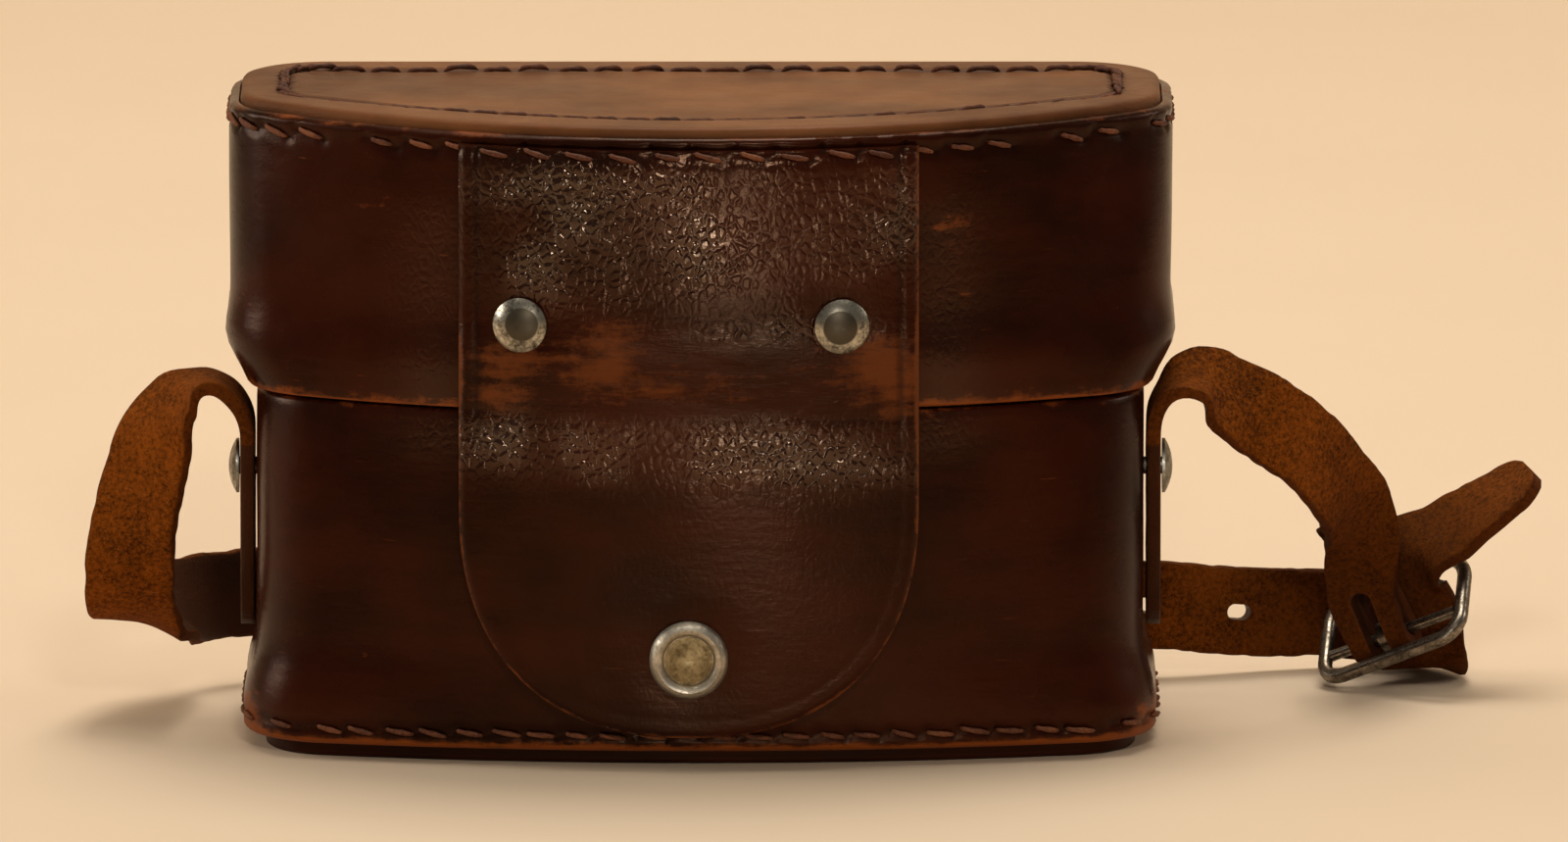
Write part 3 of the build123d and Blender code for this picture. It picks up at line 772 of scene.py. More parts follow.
# Heights of the body's top edge, of the lid's lip and of the hinge strip's crease, in millimetres
BODY_TOP = 51.0
LID_LIP = 51.4
CREASE_HEIGHT = 51.0


def tongue_half_width(z: Array) -> Array:
    """Half width of the tongue at heights, in millimetres."""
    share = np.clip((TIP_TOP - z) / TIP_DROP, 0.0, 1.0)
    return TONGUE_HALF * np.clip(1 - share**TIP_POWER, 0.0, 1.0) ** (1 / TIP_POWER)


# Stitching


@dataclass(frozen=True)
class SeamRow:
    """Row of hand stitches round the case."""

    shell: Shell
    height: float
    pitch: float
    start: float
    gaps: tuple = ()
    slant: float = -14.0
    length: float = 4.3
    inset: Callable[[Array], Array] | None = None
    seed: int = 3
    front_sink: float = 0.0

    def spots(self) -> list[tuple[float, float]]:
        """Place the stitches, with the small unevenness of sewing by hand.

        Returns:
            Share round the case and height of each stitch.
        """
        found = []
        draw = np.random.default_rng(self.seed)
        count = int(self.shell.round_length / self.pitch)
        for index in range(count):
            share = (self.start + index / count) % 1.0
            shift, lift = draw.normal(0, 0.0005), draw.normal(0, 0.12)
            place = self.shell.spot(share, self.height)
            missing = any(low < place[0] < high and place[1] < 0 for low, high in self.gaps)
            sink = self.front_sink if place[1] < 0 else 0.0
            if not missing:
                found.append((share + shift, self.height + lift - sink))
        return found

    def press(self, share: Array, z: Array) -> tuple[Array, Array]:
        """How deep the stitches pull the leather in.

        Args:
            share: Shares round the case of the surface's points.
            z: Heights of the surface's points.

        Returns:
            Depth in millimetres, and darkness of the painted shade in the stitch beds and holes, from 0 to
            1, at each point.
        """
        depth = 0.16 * hump(z, self.height, 1.7)
        dark = np.zeros_like(depth)
        near = np.abs(z - self.height) < 4
        turn = math.radians(self.slant)
        for spot, height in self.spots():
            apart = ((share[near] - spot + 0.5) % 1.0 - 0.5) * self.shell.round_length
            rise = z[near] - height
            along = apart * math.cos(turn) + rise * math.sin(turn)
            across = -apart * math.sin(turn) + rise * math.cos(turn)
            bed = hump(np.abs(along), 0.0, self.length * 0.56, 4) * hump(across, 0.0, 0.62)
            ends = np.exp(-(((np.abs(along) - self.length * 0.6) / 0.55) ** 2) - (across / 0.6) ** 2)
            pucker = hump(along, 0.0, 2.4) * hump(np.abs(across), 1.5, 0.7)
            depth[near] += 0.26 * bed + 0.42 * ends - 0.08 * pucker
            dark[near] = np.maximum(dark[near], np.clip(0.5 * bed + 0.9 * ends, 0, 1))
        return depth, dark


def make_stitch(length: float = 4.3, radius: float = 0.37) -> bpy.types.Object:
    """Model one twisted stitch, to be copied.

    Args:
        length: Length in millimetres.
        radius: Radius in millimetres.

    Returns:
        The stitch at the origin, lying along X with +Z outward.
    """
    piece = surface_grid("stitch_master", 8, 9)
    around, along = grid_shares(piece)
    angle = around * 2 * math.pi
    s = (along - 0.5) * 2
    strands = 1 + 0.16 * np.cos(2 * (angle - along * 5.5))
    thick = radius * strands * np.clip(1 - np.abs(s) ** 6, 0, 1) ** 0.5
    rise = 0.34 - 0.62 * s**4
    points = np.stack([s * length / 2, thick * np.cos(angle), rise + thick * np.sin(angle)], axis=1)
    set_places(piece, points)
    close_up(piece, 80)
    return piece


def sew(row: SeamRow, name: str, body: Body, material: bpy.types.Material,
        stand: Callable[[float, float], float]) -> bpy.types.Object:
    """Sew a row of stitches as one piece.

    Args:
        row: Row to sew.
        name: Name of the piece.
        body: Body that the row rides on.
        material: Finish of the thread.
        stand: Distance outside the shell, from the place seen from the front.

    Returns:
        The row of stitches.
    """
    draw = np.random.default_rng(row.seed + 11)
    master = make_stitch(row.length)
    copies = []
    for share, height in row.spots():
        place = row.shell.spot(share, height)
        tilt = math.radians(row.slant + draw.normal(0, 3.5))
        stretch = 1 + draw.normal(0, 0.07)
        inset = float(row.inset(place[0])) if row.inset else 0.0
        out = stand(place[0], place[1]) - inset
        middle, along, upward, outward = row.shell.frame_at(share, height, out)
        if row.inset:
            upward, outward = -outward, Vector((0, 0, 1))
        first = along * math.cos(tilt) + upward * math.sin(tilt)
        second = outward.cross(first)
        turn = Matrix((first * stretch, second, outward)).transposed().to_4x4()
        copy = master.copy()
        copy.data = master.data.copy()
        bpy.context.collection.objects.link(copy)
        copy.data.transform(Matrix.Translation(middle * MM) @ turn)
        copies.append(copy)
    bpy.data.objects.remove(master)
    bpy.ops.object.select_all(action="DESELECT")
    for copy in copies:
        copy.select_set(True)
    bpy.context.view_layer.objects.active = copies[0]
    bpy.ops.object.join()
    piece = copies[0]
    piece.name = name
    dress(piece, material)
    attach(piece, body.value)
    LOG.info("%s: %d stitches", name, len(copies))
    return piece


# Places on the front where the lid's thread has gone, in millimetres across
FRONT_GAPS = ((-51.5, -47.3), (45.3, 50.6), (59.4, 63.2))
LID_ROW = SeamRow(LID_SHELL, 88.4, 6.0, 0.004, gaps=FRONT_GAPS, slant=-13.0)
BOTTOM_ROW = SeamRow(BODY_SHELL, 4.6, 6.3, 0.002, gaps=((-53.0, -48.0),), slant=-9.0, seed=8)

# How far the thread is pulled into the leather, in millimetres
THREAD_SINK = 0.28


def top_inset(x: Array) -> Array:
    """Distance of the top panel's stitches from the rim, in millimetres."""
    return 9.9 - 2.2 * smooth(46.0, 62.0, np.abs(x))


TOP_ROW = SeamRow(
    LID_SHELL, 91.9, 4.9, 0.006, slant=15.0, length=4.9, inset=top_inset, seed=5, front_sink=0.4)


@dataclass(frozen=True)
class Patch:
    """Soft-edged patch on the front, by its middle, its spread and its strength.

    The middle and the spread are in millimetres, across and up.
    """

    x: float
    z: float
    wide: float
    tall: float
    much: float

    def strength(self, x: Array, z: Array) -> Array:
        """Strength of the patch at places seen from the front."""
        return self.much * np.exp(-(((x - self.x) / self.wide) ** 2) - ((z - self.z) / self.tall) ** 2)


def total(patches: Sequence[Patch], x: Array, z: Array) -> Array:
    """Strength of several patches together, at places seen from the front."""
    return sum(patch.strength(x, z) for patch in patches)


BODY_SCUFF = Patch(-46.5, 15.0, 5.0, 3.5, 0.45)
LID_SCUFFS = (
    Patch(-43.0, 79.5, 7.0, 2.5, 0.5),
    Patch(36.5, 78.0, 4.0, 4.5, 0.5),
    Patch(37.5, 65.0, 2.5, 5.0, 0.45),
    Patch(-64.0, 63.0, 3.0, 3.0, 0.4),
)
RUBBED_PATCHES = (
    Patch(-27.0, 59.0, 7.5, 3.4, 0.75),
    Patch(-14.0, 60.0, 6.0, 4.4, 0.72),
    Patch(25.0, 59.5, 7.5, 3.6, 0.78),
    Patch(-10.0, 63.5, 6.0, 2.0, 0.5),
    Patch(4.0, 57.0, 20.0, 4.2, 0.42),
    Patch(-29.0, 53.0, 5.0, 4.0, 0.6),
    Patch(14.0, 10.0, 9.0, 2.5, 0.4),
    Patch(-10.0, 54.0, 16.0, 2.5, 0.4),
    Patch(27.0, 53.5, 6.0, 4.5, 0.62),
)
SHINING_PATCHES = (
    Patch(3.5, 75.6, 10.0, 5.5, 1.0),
    Patch(-21.0, 79.0, 8.0, 8.0, 0.9),
    Patch(-12.0, 84.5, 12.0, 2.5, 0.7),
    Patch(6.0, 84.0, 14.0, 2.0, 0.7),
    Patch(-20.0, 70.5, 9.0, 5.0, 0.5),
    Patch(12.0, 63.5, 12.0, 2.2, 0.7),
    Patch(-24.0, 47.5, 7.0, 5.0, 0.8),
    Patch(10.0, 45.0, 16.0, 4.5, 0.6),
    Patch(27.0, 80.0, 4.0, 7.0, 0.5),
)


# Leather of the case


@dataclass
class CaseLeather:
    """Moulded leather of the body and of the lid, sewn at the foot and round the top."""

    skin: PolishedLeather = PolishedLeather("case_hide")
    columns: int = 480
    thickness: float = 2.6
    foot: float = 2.2
    body_top: float = BODY_TOP
    lip: float = LID_LIP
    rim: float = 90.6
    top: float = 92.0
    band_edge: float = -2.6
    field_edge: float = -11.9
    body_waves: float = 0.22
    lid_waves: float = 0.24

    def wall(self, name: str, shell: Shell, profile: list[tuple[float, float]], row: SeamRow,
             worn: Callable[[Array, Array], Array], unevenness: float, seed: float) -> bpy.types.Object:
        """Shape a wall all round the case from a closed profile.

        Args:
            name: Name of the piece.
            shell: Outline that the wall follows.
            profile: Heights and distances outside the outline, in order round the wall's section.
            row: Seam that presses into the wall.
            worn: How rubbed the leather is, from places and heights.
            unevenness: Size of the hand-made unevenness in millimetres.
            seed: Shift of the unevenness.

        Returns:
            The closed wall.
        """
        piece = surface_grid(name, self.columns, len(profile) - 1)
        share, level = grid_shares(piece)
        z, out = section_rows(level, profile)
        flat = shell.point(share, z, out)
        outer = smooth(-1.3, -0.2, out)
        depth, dark = row.press(share, z)
        broad = grain_noise(flat, 34.0, seed) * unevenness
        ripple = broad + grain_noise(flat, 11.0, seed) * unevenness * 0.3
        out = out + outer * (ripple - depth) * smooth(0.0, 1.0, outer)
        points = shell.point(share, z, out)
        droop = grain_noise(flat * np.array([1.0, 1.0, 0.0]), 40.0, seed + 4) * 0.25
        points[:, 2] += droop * smooth(2.0, 12.0, np.abs(z - self.foot)) * outer
        set_places(piece, points)
        beside_tongue = hump(np.abs(flat[:, 0] - TONGUE_MIDDLE), 36.5, 5.5) * (flat[:, 1] < 0)
        polish = 0.35 * beside_tongue * smooth(41.0, 47.0, z) * (1 - smooth(78.0, 84.0, z))
        # groove carries painted shade in the seam's stitch beds and holes
        mark(piece, worn=worn(flat, z), groove=dark * outer, creased=np.full(len(z), 0.1), polish=polish)
        close_up(piece)
        return piece

    def body_wear(self, flat: Array, z: Array) -> Array:
        """How rubbed the body is: at its foot, its lower corners and its top edge.

        Args:
            flat: Places in millimetres.
            z: Heights in millimetres.

        Returns:
            Share of rubbing at each place.
        """
        aside = np.abs(flat[:, 0])
        foot = 0.85 * (1 - smooth(2.5, 3.9, z)) + 0.28 * (1 - smooth(4.0, 9.0, z))
        side = 0.55 * smooth(61.5, 64.0, aside) * (1 - smooth(4.0, 14.0, z))
        edge = 0.5 * smooth(49.6, 50.8, z)
        corner = 0.12 * smooth(56.0, 63.0, aside)
        return foot + side + edge + corner + BODY_SCUFF.strength(flat[:, 0], z) * (flat[:, 1] < 0)

    def lid_wear(self, flat: Array, z: Array) -> Array:
        """How rubbed the lid is: at its lip, its rim, its flanks and in scuffs on the front.

        Args:
            flat: Places in millimetres.
            z: Heights in millimetres.

        Returns:
            Share of rubbing at each place.
        """
        lip = 0.75 * (1 - smooth(51.6, 52.3, z)) + 0.3 * (1 - smooth(52.0, 56.0, z))
        rim = 0.4 * smooth(90.0, 90.5, z) + 0.1 * smooth(86.0, 89.7, z)
        flank = 0.35 * smooth(63.0, 67.5, np.abs(flat[:, 0])) * hump(z, 57.0, 5.0)
        return lip + rim + flank + total(LID_SCUFFS, flat[:, 0], z) * (flat[:, 1] < 0)

    def body(self) -> bpy.types.Object:
        """Make the body's wall.

        Returns:
            The wall, riding on the body.
        """
        foot, top, inner = self.foot, self.body_top, -self.thickness
        outside = list(np.arange(3.9, 7.2, 0.6)) + list(np.arange(7.6, 50.0, 1.9))
        inside = (40, 30, 20, 15, 12.2, 9.8, 7, 4)
        profile = [(foot, inner), (foot, -1.5), (2.35, -0.85), (2.75, -0.35), (3.3, -0.06)]
        profile += [(z, 0.0) for z in outside]
        profile += [(50.3, -0.04), (50.8, -0.3), (top, -0.8), (top, -2.2), (50.6, inner)]
        profile += [(z, inner) for z in inside] + [(foot, inner)]
        piece = self.wall(
            "body_hide", BODY_SHELL, profile, BOTTOM_ROW, self.body_wear, self.body_waves, seed=2.0)
        dress(piece, self.skin.build())
        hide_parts("body_wall")
        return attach(piece, Body.CASE.value)

    def lid(self, material: bpy.types.Material) -> bpy.types.Object:
        """Make the lid's wall with its rim and shoulder.

        Args:
            material: Finish of the body's wall, which the lid shares.

        Returns:
            The wall, riding on the lid.
        """
        lip, rim, inner = self.lip, self.rim, -self.thickness
        outside = list(np.arange(53.6, 84.0, 1.7)) + list(np.arange(84.6, 89.7, 0.6))
        inside = (80, 72, 64, 62.2, 60.1, 58, 55, 53.05)
        profile = [(lip, -2.1), (lip, -0.75), (51.55, -0.25), (51.95, 0.0)]
        profile += [(z, 0.0) for z in outside]
        profile += [(89.9, -0.06), (90.35, -0.35), (rim, -0.85), (rim, -1.35), (90.45, -1.5)]
        profile += [(89.42, -1.52), (89.42, -10.5), (87.1, -10.5), (87.0, inner)]
        profile += [(z, inner) for z in inside] + [(51.7, -2.55), (lip, -2.1)]
        piece = self.wall(
            "lid_hide", LID_SHELL, profile, LID_ROW, self.lid_wear, self.lid_waves, seed=9.0)
        dress(piece, material)
        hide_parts("lid_wall")
        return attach(piece, Body.LID.value)

    def top_rings(self) -> list[tuple[float, float, float]]:
        """Rings of the top panel, from its underside round the edge to the middle of its field.

        Returns:
            Height, distance outside the outline and share of the way to the middle line, for each ring.
        """
        under, edge = 89.45, -1.62
        rings = [(under, edge, 1.0), (under, edge, 0.5), (under, edge, 0.0)]
        rings += [(90.9, edge, 0.0), (91.45, -1.75, 0.0), (91.8, -2.05, 0.0), (91.97, self.band_edge, 0.0)]
        rings += [(self.top, self.band_edge - 0.62 * step, 0.0) for step in range(1, 16)]
        return rings + [(self.top, self.field_edge, pull) for pull in np.linspace(0.04, 1.0, 22)]

    def top_seam(self, share: Array, across: Array) -> tuple[Array, Array]:
        """How deep the top row's stitches pull the panel in.

        Args:
            share: Shares round the case of the panel's points.
            across: Their distances inward from the row.

        Returns:
            Depth in millimetres, and darkness of the painted shade in the stitch beds and holes, from 0 to
            1, at each point.
        """
        depth, dark = np.zeros_like(across), np.zeros_like(across)
        for spot, _ in TOP_ROW.spots():
            apart = np.abs(((share - spot + 0.5) % 1.0 - 0.5) * LID_SHELL.round_length)
            bed = np.exp(-(apart / 2.1) ** 4 - (across / 0.75) ** 2)
            ends = np.exp(-(((apart - 2.3) / 0.6) ** 2) - (across / 0.8) ** 2)
            depth += 0.28 * bed + 0.42 * ends
            dark = np.maximum(dark, 0.6 * bed + 0.95 * ends)
        return depth, dark

    def panel(self, material: bpy.types.Material) -> bpy.types.Object:
        """Make the lid's top panel: a raised band, its sewn groove and the field inside.

        Args:
            material: Finish of the panel.

        Returns:
            The panel, riding on the lid.
        """
        rings = self.top_rings()
        piece = surface_grid("top_panel", self.columns, len(rings) - 1)
        share, level = grid_shares(piece)
        z, out, pull = section_rows(level, rings)
        ring = LID_SHELL.point(share, np.full_like(z, self.rim), out)
        spine = np.stack([-42.0 * np.sin(2 * math.pi * share), 0 * share, z], axis=1)
        flat = ring * (1 - pull[:, None]) + spine * pull[:, None]
        flat[:, 2] = z
        upper = smooth(91.5, self.top, z)
        inward = -out + 30 * pull
        across = inward - top_inset(flat[:, 0])
        groove = hump(across, 0.0, 1.0)
        depth, dark = self.top_seam(share, across)
        field_drop = 0.42 * smooth(0.6, 2.6, across)
        crown = 0.16 * hump(inward, 5.2, 3.2)
        fan = grain_noise(np.stack([share * 90, 0 * share, inward * 0.25], axis=1), 1.6, 3.0)
        ends_only = smooth(50.0, 60.0, np.abs(flat[:, 0]))
        ripple = grain_noise(flat, 26.0, 5.0) * 0.16 + fan * 0.18 * ends_only
        lower = upper * (0.45 * groove + depth + field_drop - crown - ripple - 0.15)
        flat[:, 2] -= np.clip(lower, -0.02, 2.0)
        set_places(piece, flat)
        edge = 0.32 * (1 - smooth(1.9, 2.4, inward)) * smooth(90.9, 91.5, z)
        # groove carries painted shade in the sewn groove and round the top row's stitches
        mark(piece, worn=edge + 0.12 * upper, groove=np.clip(dark + 0.35 * groove, 0, 1) * upper,
             creased=0.25 + 0.5 * ends_only)
        close_up(piece)
        dress(piece, material)
        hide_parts("lid_top")
        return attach(piece, Body.LID.value)


@dataclass(frozen=True)
class HingeStrip:
    """Leather strip sewn across the back, which bends where the lid meets the body."""

    low: float = 36.0
    high: float = 66.0
    width: float = 104.0
    on_body: float = 30.1
    on_lid: float = 30.97
    face: float = 32.45
    face_edge: float = 32.42
    seams: tuple[float, float] = (39.5, 62.5)
    pitch: float = 5.5

    def section(self) -> list[tuple[float, float]]:
        """Section of the strip, up its outer face and down its inner face.

        Returns:
            Heights and depths in millimetres.
        """
        rows = [(self.low, self.on_body), (36.2, 32.0), (36.7, self.face_edge)]
        rows += [(z, self.face) for z in np.arange(38.0, 65.0, 1.0)]
        rows += [(65.5, self.face_edge), (65.95, 32.05), (self.high, self.on_lid)]
        rows += [(z, self.on_lid) for z in (62.0, 58.0, 54.0, 52.6)]
        rows += [(51.8, 30.8), (50.8, 30.2)]
        return rows + [(z, self.on_body) for z in (49.5, 45.0, 40.0, self.low)]

    def build(self, material: bpy.types.Material) -> bpy.types.Object:
        """Make the strip.

        Args:
            material: Finish of the strip.

        Returns:
            The strip, not attached to a body.
        """
        section = self.section()
        piece = surface_grid("hinge_strip", 110, len(section) - 1)
        across, level = grid_shares(piece)
        z, y = section_rows(level, section)
        x = (0.5 - across) * self.width
        outer = smooth(32.0, 32.4, y)
        flat = np.stack([x, y, z], axis=1)
        beat = np.cos(x * 2 * math.pi / self.pitch)
        sewn = hump(z, self.seams[0], 0.8) + hump(z, self.seams[1], 0.8)
        y = y - outer * (0.25 * sewn * (0.6 + 0.4 * beat) + 0.25 * hump(z, CREASE_HEIGHT, 1.2))
        flat[:, 1] = y + outer * np.minimum(grain_noise(flat, 15.0, 7.0) * 0.15, 0)
        set_places(piece, flat)
        near_end = smooth(50.8, 51.9, np.abs(x))
        near_edge = 1 - smooth(0.2, 1.2, np.minimum(z - self.low, self.high - z))
        # groove carries painted shade along the two sewn rows
        mark(piece, worn=0.9 * np.maximum(near_end, near_edge) + 0.5 * hump(z, CREASE_HEIGHT, 2.0),
             groove=np.clip(sewn * (0.5 + 0.5 * beat) * outer, 0, 1),
             creased=0.2 + 0.8 * hump(z, CREASE_HEIGHT, 4.0))
        close_up(piece)
        cap_ends()
        dress(piece, material)
        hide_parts("hinge_strip_lower", "hinge_strip_upper")
        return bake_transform(piece)


# Folds where the tongue bends: height, sway, wave, half height and depth, in millimetres
FOLDS = (
    (61.3, 0.9, 31.0, 0.5, 0.16), (59.4, 1.1, 23.0, 0.45, 0.2), (57.3, 0.8, 27.0, 0.45, 0.2),
    (55.4, 1.0, 19.0, 0.4, 0.2), (53.4, 0.7, 33.0, 0.5, 0.24), (51.3, 0.6, 41.0, 0.6, 0.22))

# Hollows that the press stud and the two rivets pull in: across, up, spread and depth
CUPS = ((TONGUE_MIDDLE, 16.3, 7.5, 0.35), (-25.45, 64.0, 5.2, 0.3), (20.05, 64.0, 5.2, 0.3))


@dataclass(frozen=True)
class Tongue:
    """Front tongue in one piece, from the rim to its round tip."""

    finish: PolishedLeather = PolishedLeather(
        "tongue_hide", rubbed=(0.12, 0.029, 0.0055, 1), gloss=0.2, pebble=0.8)
    columns: int = 96
    crowding: float = 1.35
    off_body: float = 3.4
    pressed_line: float = 2.6
    sewn_above: float = 80.0

    def heights(self) -> Array:
        """Heights of the tongue's rows, closer together at its tip and under the seam.

        Returns:
            Heights in millimetres, from the tip to the rim.
        """
        turn = np.linspace(0, math.pi / 2, 40)
        tip = TIP_TOP - TIP_DROP * np.sin(turn[::-1]) ** (2 / TIP_POWER)
        return np.concatenate([tip, np.arange(38.7, 84.0, 0.75), np.arange(84.4, 89.0, 0.55), [89.1]])

    def edge_distance(self, x: Array, z: Array, half: Array, lowest: float) -> Array:
        """Distance of places on the tongue from its side edges and its round lower edge.

        Args:
            x: Places across in millimetres.
            z: Heights in millimetres.
            half: Half width of the tongue at the heights.
            lowest: Height of the tip.

        Returns:
            Distances in millimetres.
        """
        angles = np.linspace(-math.pi / 2, math.pi / 2, 160)
        edge_x = TONGUE_MIDDLE + TONGUE_HALF * np.sign(angles) * np.abs(np.sin(angles)) ** (2 / TIP_POWER)
        edge_z = TIP_TOP - TIP_DROP * np.cos(angles) ** (2 / TIP_POWER)
        apart = (x[:, None] - edge_x[None, :]) ** 2 + (z[:, None] - edge_z[None, :]) ** 2
        inside = np.minimum(half - np.abs(x - TONGUE_MIDDLE), np.clip(z - lowest, 0, None))
        return np.where(z < TIP_TOP, np.minimum(inside, np.sqrt(apart.min(axis=1))), inside)

    def folds(self, x: Array, z: Array) -> Array:
        """Height of the folds where the tongue bends.

        Args:
            x: Places across in millimetres.
            z: Heights in millimetres.

        Returns:
            Heights in millimetres.
        """
        folds = np.zeros_like(x)
        for height, sway, wave, tall, much in FOLDS:
            line = height + sway * np.sin(x / wave * 6.28 + height)
            strength = 0.55 + 0.45 * np.sin(x / 9.0 + height * 1.7)
            folds -= much * strength * hump(z, line, tall)
        return folds

    def cups(self, x: Array, z: Array) -> Array:
        """Depth of the hollows round the press stud and the rivets.

        Args:
            x: Places across in millimetres.
            z: Heights in millimetres.

        Returns:
            Depths in millimetres.
        """
        cup = np.zeros_like(x)
        for middle, height, spread, much in CUPS:
            cup = cup + much * np.exp(-((((x - middle) / spread) ** 2 + ((z - height) / spread) ** 2) ** 2))
        return cup

    def seam(self, x: Array, z: Array) -> tuple[Array, Array]:
        """How deep the lid's stitches pull the tongue in.

        Args:
            x: Places across in millimetres.
            z: Heights in millimetres.

        Returns:
            Depth in millimetres, and darkness of the painted shade in the stitch beds and holes, from 0 to
            1, at each place.
        """
        samples = np.linspace(0.33, 0.67, 700)
        found = LID_SHELL.point(samples, np.full(700, LID_ROW.height), np.zeros(700))[:, 0]
        return LID_ROW.press(np.interp(x, found, samples), z)

    def marks(self, flat: Array, inside: Array, front: Array, dark: Array) -> dict[str, Array]:
        """Wear, painted shade in the grooves, creases and polish of the tongue.

        Args:
            flat: Finished places in millimetres, one a row.
            inside: Distances from the edge in millimetres.
            front: Whether each place is on the outer face.
            dark: Darkness of the painted shade round the stitches.

        Returns:
            Values for each place, by the name that the finish knows.
        """
        x, z = flat[:, 0], flat[:, 2]
        edge = np.where(x > 0, 0.75, 0.3 + 0.5 * (1 - smooth(58.0, 68.0, z)))
        worn = edge * (1 - smooth(0.05, 0.75, inside)) + 0.14 * smooth(22, 30, x - TONGUE_MIDDLE) * (z > 30)
        worn = worn + total(RUBBED_PATCHES, x, z)
        # Painted shade round the stitches above the seam and along the pressed line, carried as groove
        dark = np.where(front & (z > self.sewn_above), dark, 0)
        line = 0.8 * hump(inside, self.pressed_line, 0.4) * smooth(40, 50, z) * front
        calm = 0.3 + 0.7 * smooth(-0.3, 0.2, grain_noise(flat, 9.0, 11.0))
        shine = 0.35 * hump(z, 77.0, 9.5, 4) + 0.5 * hump(z, 46.0, 4.5, 4) + total(SHINING_PATCHES, x, z)
        return {"worn": np.where(front, worn, 0.4), "groove": np.clip(dark + line, 0, 1),
                "creased": 0.12 + 1.0 * hump(z, 57.5, 6.0), "polish": np.clip(shine, 0, 1) * calm * front}

    def build(self) -> bpy.types.Object:
        """Make the tongue.

        Returns:
            The tongue, not attached to a body.
        """
        heights = self.heights()
        last = 2 * len(heights) - 1
        piece = surface_grid("tongue", self.columns, last)
        across, level = grid_shares(piece)
        index = np.rint(level * last).astype(int)
        front = index < len(heights)
        z = heights[np.where(front, index, last - index)]
        s = (across - 0.5) * 2
        s = np.sign(s) * (1 - (1 - np.abs(s)) ** self.crowding)
        half = tongue_half_width(z)
        x = TONGUE_MIDDLE + half * s
        on_body = BODY_SHELL.front(x, np.minimum(z, BODY_TOP), self.off_body)
        on_lid = LID_SHELL.front(x, np.maximum(z, LID_LIP), TONGUE_OFF_LID)
        over = smooth(46.5, 56.0, z)
        y = on_body * (1 - over) + on_lid * over
        flat = np.stack([x, y, z], axis=1)
        inside = self.edge_distance(x, z, half, heights[0])
        depth, dark = self.seam(x, z)
        roll = 0.55 * (1 - smooth(0.0, 1.1, inside)) ** 2
        tuck = 0.5 * smooth(87.9, 89.1, z)
        crease = 0.22 * hump(inside, self.pressed_line, 0.45) * (0.2 + 0.8 * smooth(36.0, 52.0, z))
        ripple = grain_noise(flat, 17.0, 1.5) * 0.22
        y_front = y + roll + tuck + crease + np.where(z > self.sewn_above, depth, 0)
        y_front = y_front + self.cups(x, z) - self.folds(x, z) - ripple
        y_back = y + TONGUE_SKIN - 0.25 * (1 - smooth(0.0, 0.9, inside))
        flat[:, 1] = np.where(front, np.minimum(y_front, y_back - 0.9), y_back)
        set_places(piece, flat)
        mark(piece, **self.marks(flat, inside, front, dark))
        close_up(piece, 55)
        dress(piece, self.finish.build())
        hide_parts("tongue_root", "tongue_flap")
        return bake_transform(piece)


# Straps


class Route:
    """Smooth line through given points, with a direction across at each."""

    def __init__(self, stops: Sequence[tuple], start: Vector, end: Vector) -> None:
        """Fit the line.

        Args:
            stops: Pairs of a place in millimetres and a direction across.
            start: Direction at the first point.
            end: Direction at the last point.
        """
        self.points = np.array([stop[0] for stop in stops], dtype=float)
        self.across = np.array([stop[1] for stop in stops], dtype=float)
        steps = np.linalg.norm(np.diff(self.points, axis=0), axis=1)
        self.marks = np.concatenate([[0], np.cumsum(steps)])
        count = len(stops)
        system, right = np.eye(count), np.zeros((count, 3))
        right[0], right[-1] = np.array(start.normalized()), np.array(end.normalized())
        for i in range(1, count - 1):
            before, after = steps[i - 1], steps[i]
            system[i, i - 1:i + 2] = after, 2 * (before + after), before
            right[i] = 3 * (after * (self.points[i] - self.points[i - 1]) / before
                            + before * (self.points[i + 1] - self.points[i]) / after)
        self.slopes = np.linalg.solve(system, right)

    def at(self, mark: float) -> tuple[Vector, Vector, Vector]:
        """Find how the line lies at a mark.

        Args:
            mark: Distance along the line's chords in millimetres.

        Returns:
            Place, direction along and direction across.
        """
        i = int(np.clip(np.searchsorted(self.marks, mark) - 1, 0, len(self.marks) - 2))
        step = self.marks[i + 1] - self.marks[i]
        q = (mark - self.marks[i]) / step
        first, last = self.points[i], self.points[i + 1]
        m0, m1 = self.slopes[i], self.slopes[i + 1]
        place = ((2 * q**3 - 3 * q**2 + 1) * first + (q**3 - 2 * q**2 + q) * step * m0
                 + (3 * q**2 - 2 * q**3) * last + (q**3 - q**2) * step * m1)
        along = ((6 * q**2 - 6 * q) * (first - last) / step + (3 * q**2 - 4 * q + 1) * m0
                 + (3 * q**2 - 2 * q) * m1)
        eased = q * q * (3 - 2 * q)
        side = Vector(self.across[i] * (1 - eased) + self.across[i + 1] * eased)
        along = Vector(along).normalized()
        return Vector(place), along, (side - along * side.dot(along)).normalized()


@dataclass
class Cut:
    """Cross section of a strap."""

    middle: Vector
    along: Vector
    across: Vector
    width: float

    @property
    def face(self) -> Vector:
        """Direction square to the strap's face."""
        return self.along.cross(self.across).normalized()


# Half width and half depth of the body and width of the straps, in millimetres
HALF_WIDTH = 63.2
HALF_DEPTH = 30.0
STRAP_WIDTH = 13.0

# Directions up and from the front to the back
UP = Vector((0, 0, 1))
DEPTH = Vector((0, 1, 0))


def beside(side: int, out: float, y: float, z: float) -> Vector:
    """Place a distance outside a side wall."""
    return Vector((side * (HALF_WIDTH + out), y, z))


def behind(share: float, out: float, z: float) -> Vector:
    """Place behind the flat back."""
    return Vector((share * HALF_WIDTH, HALF_DEPTH + out, z))


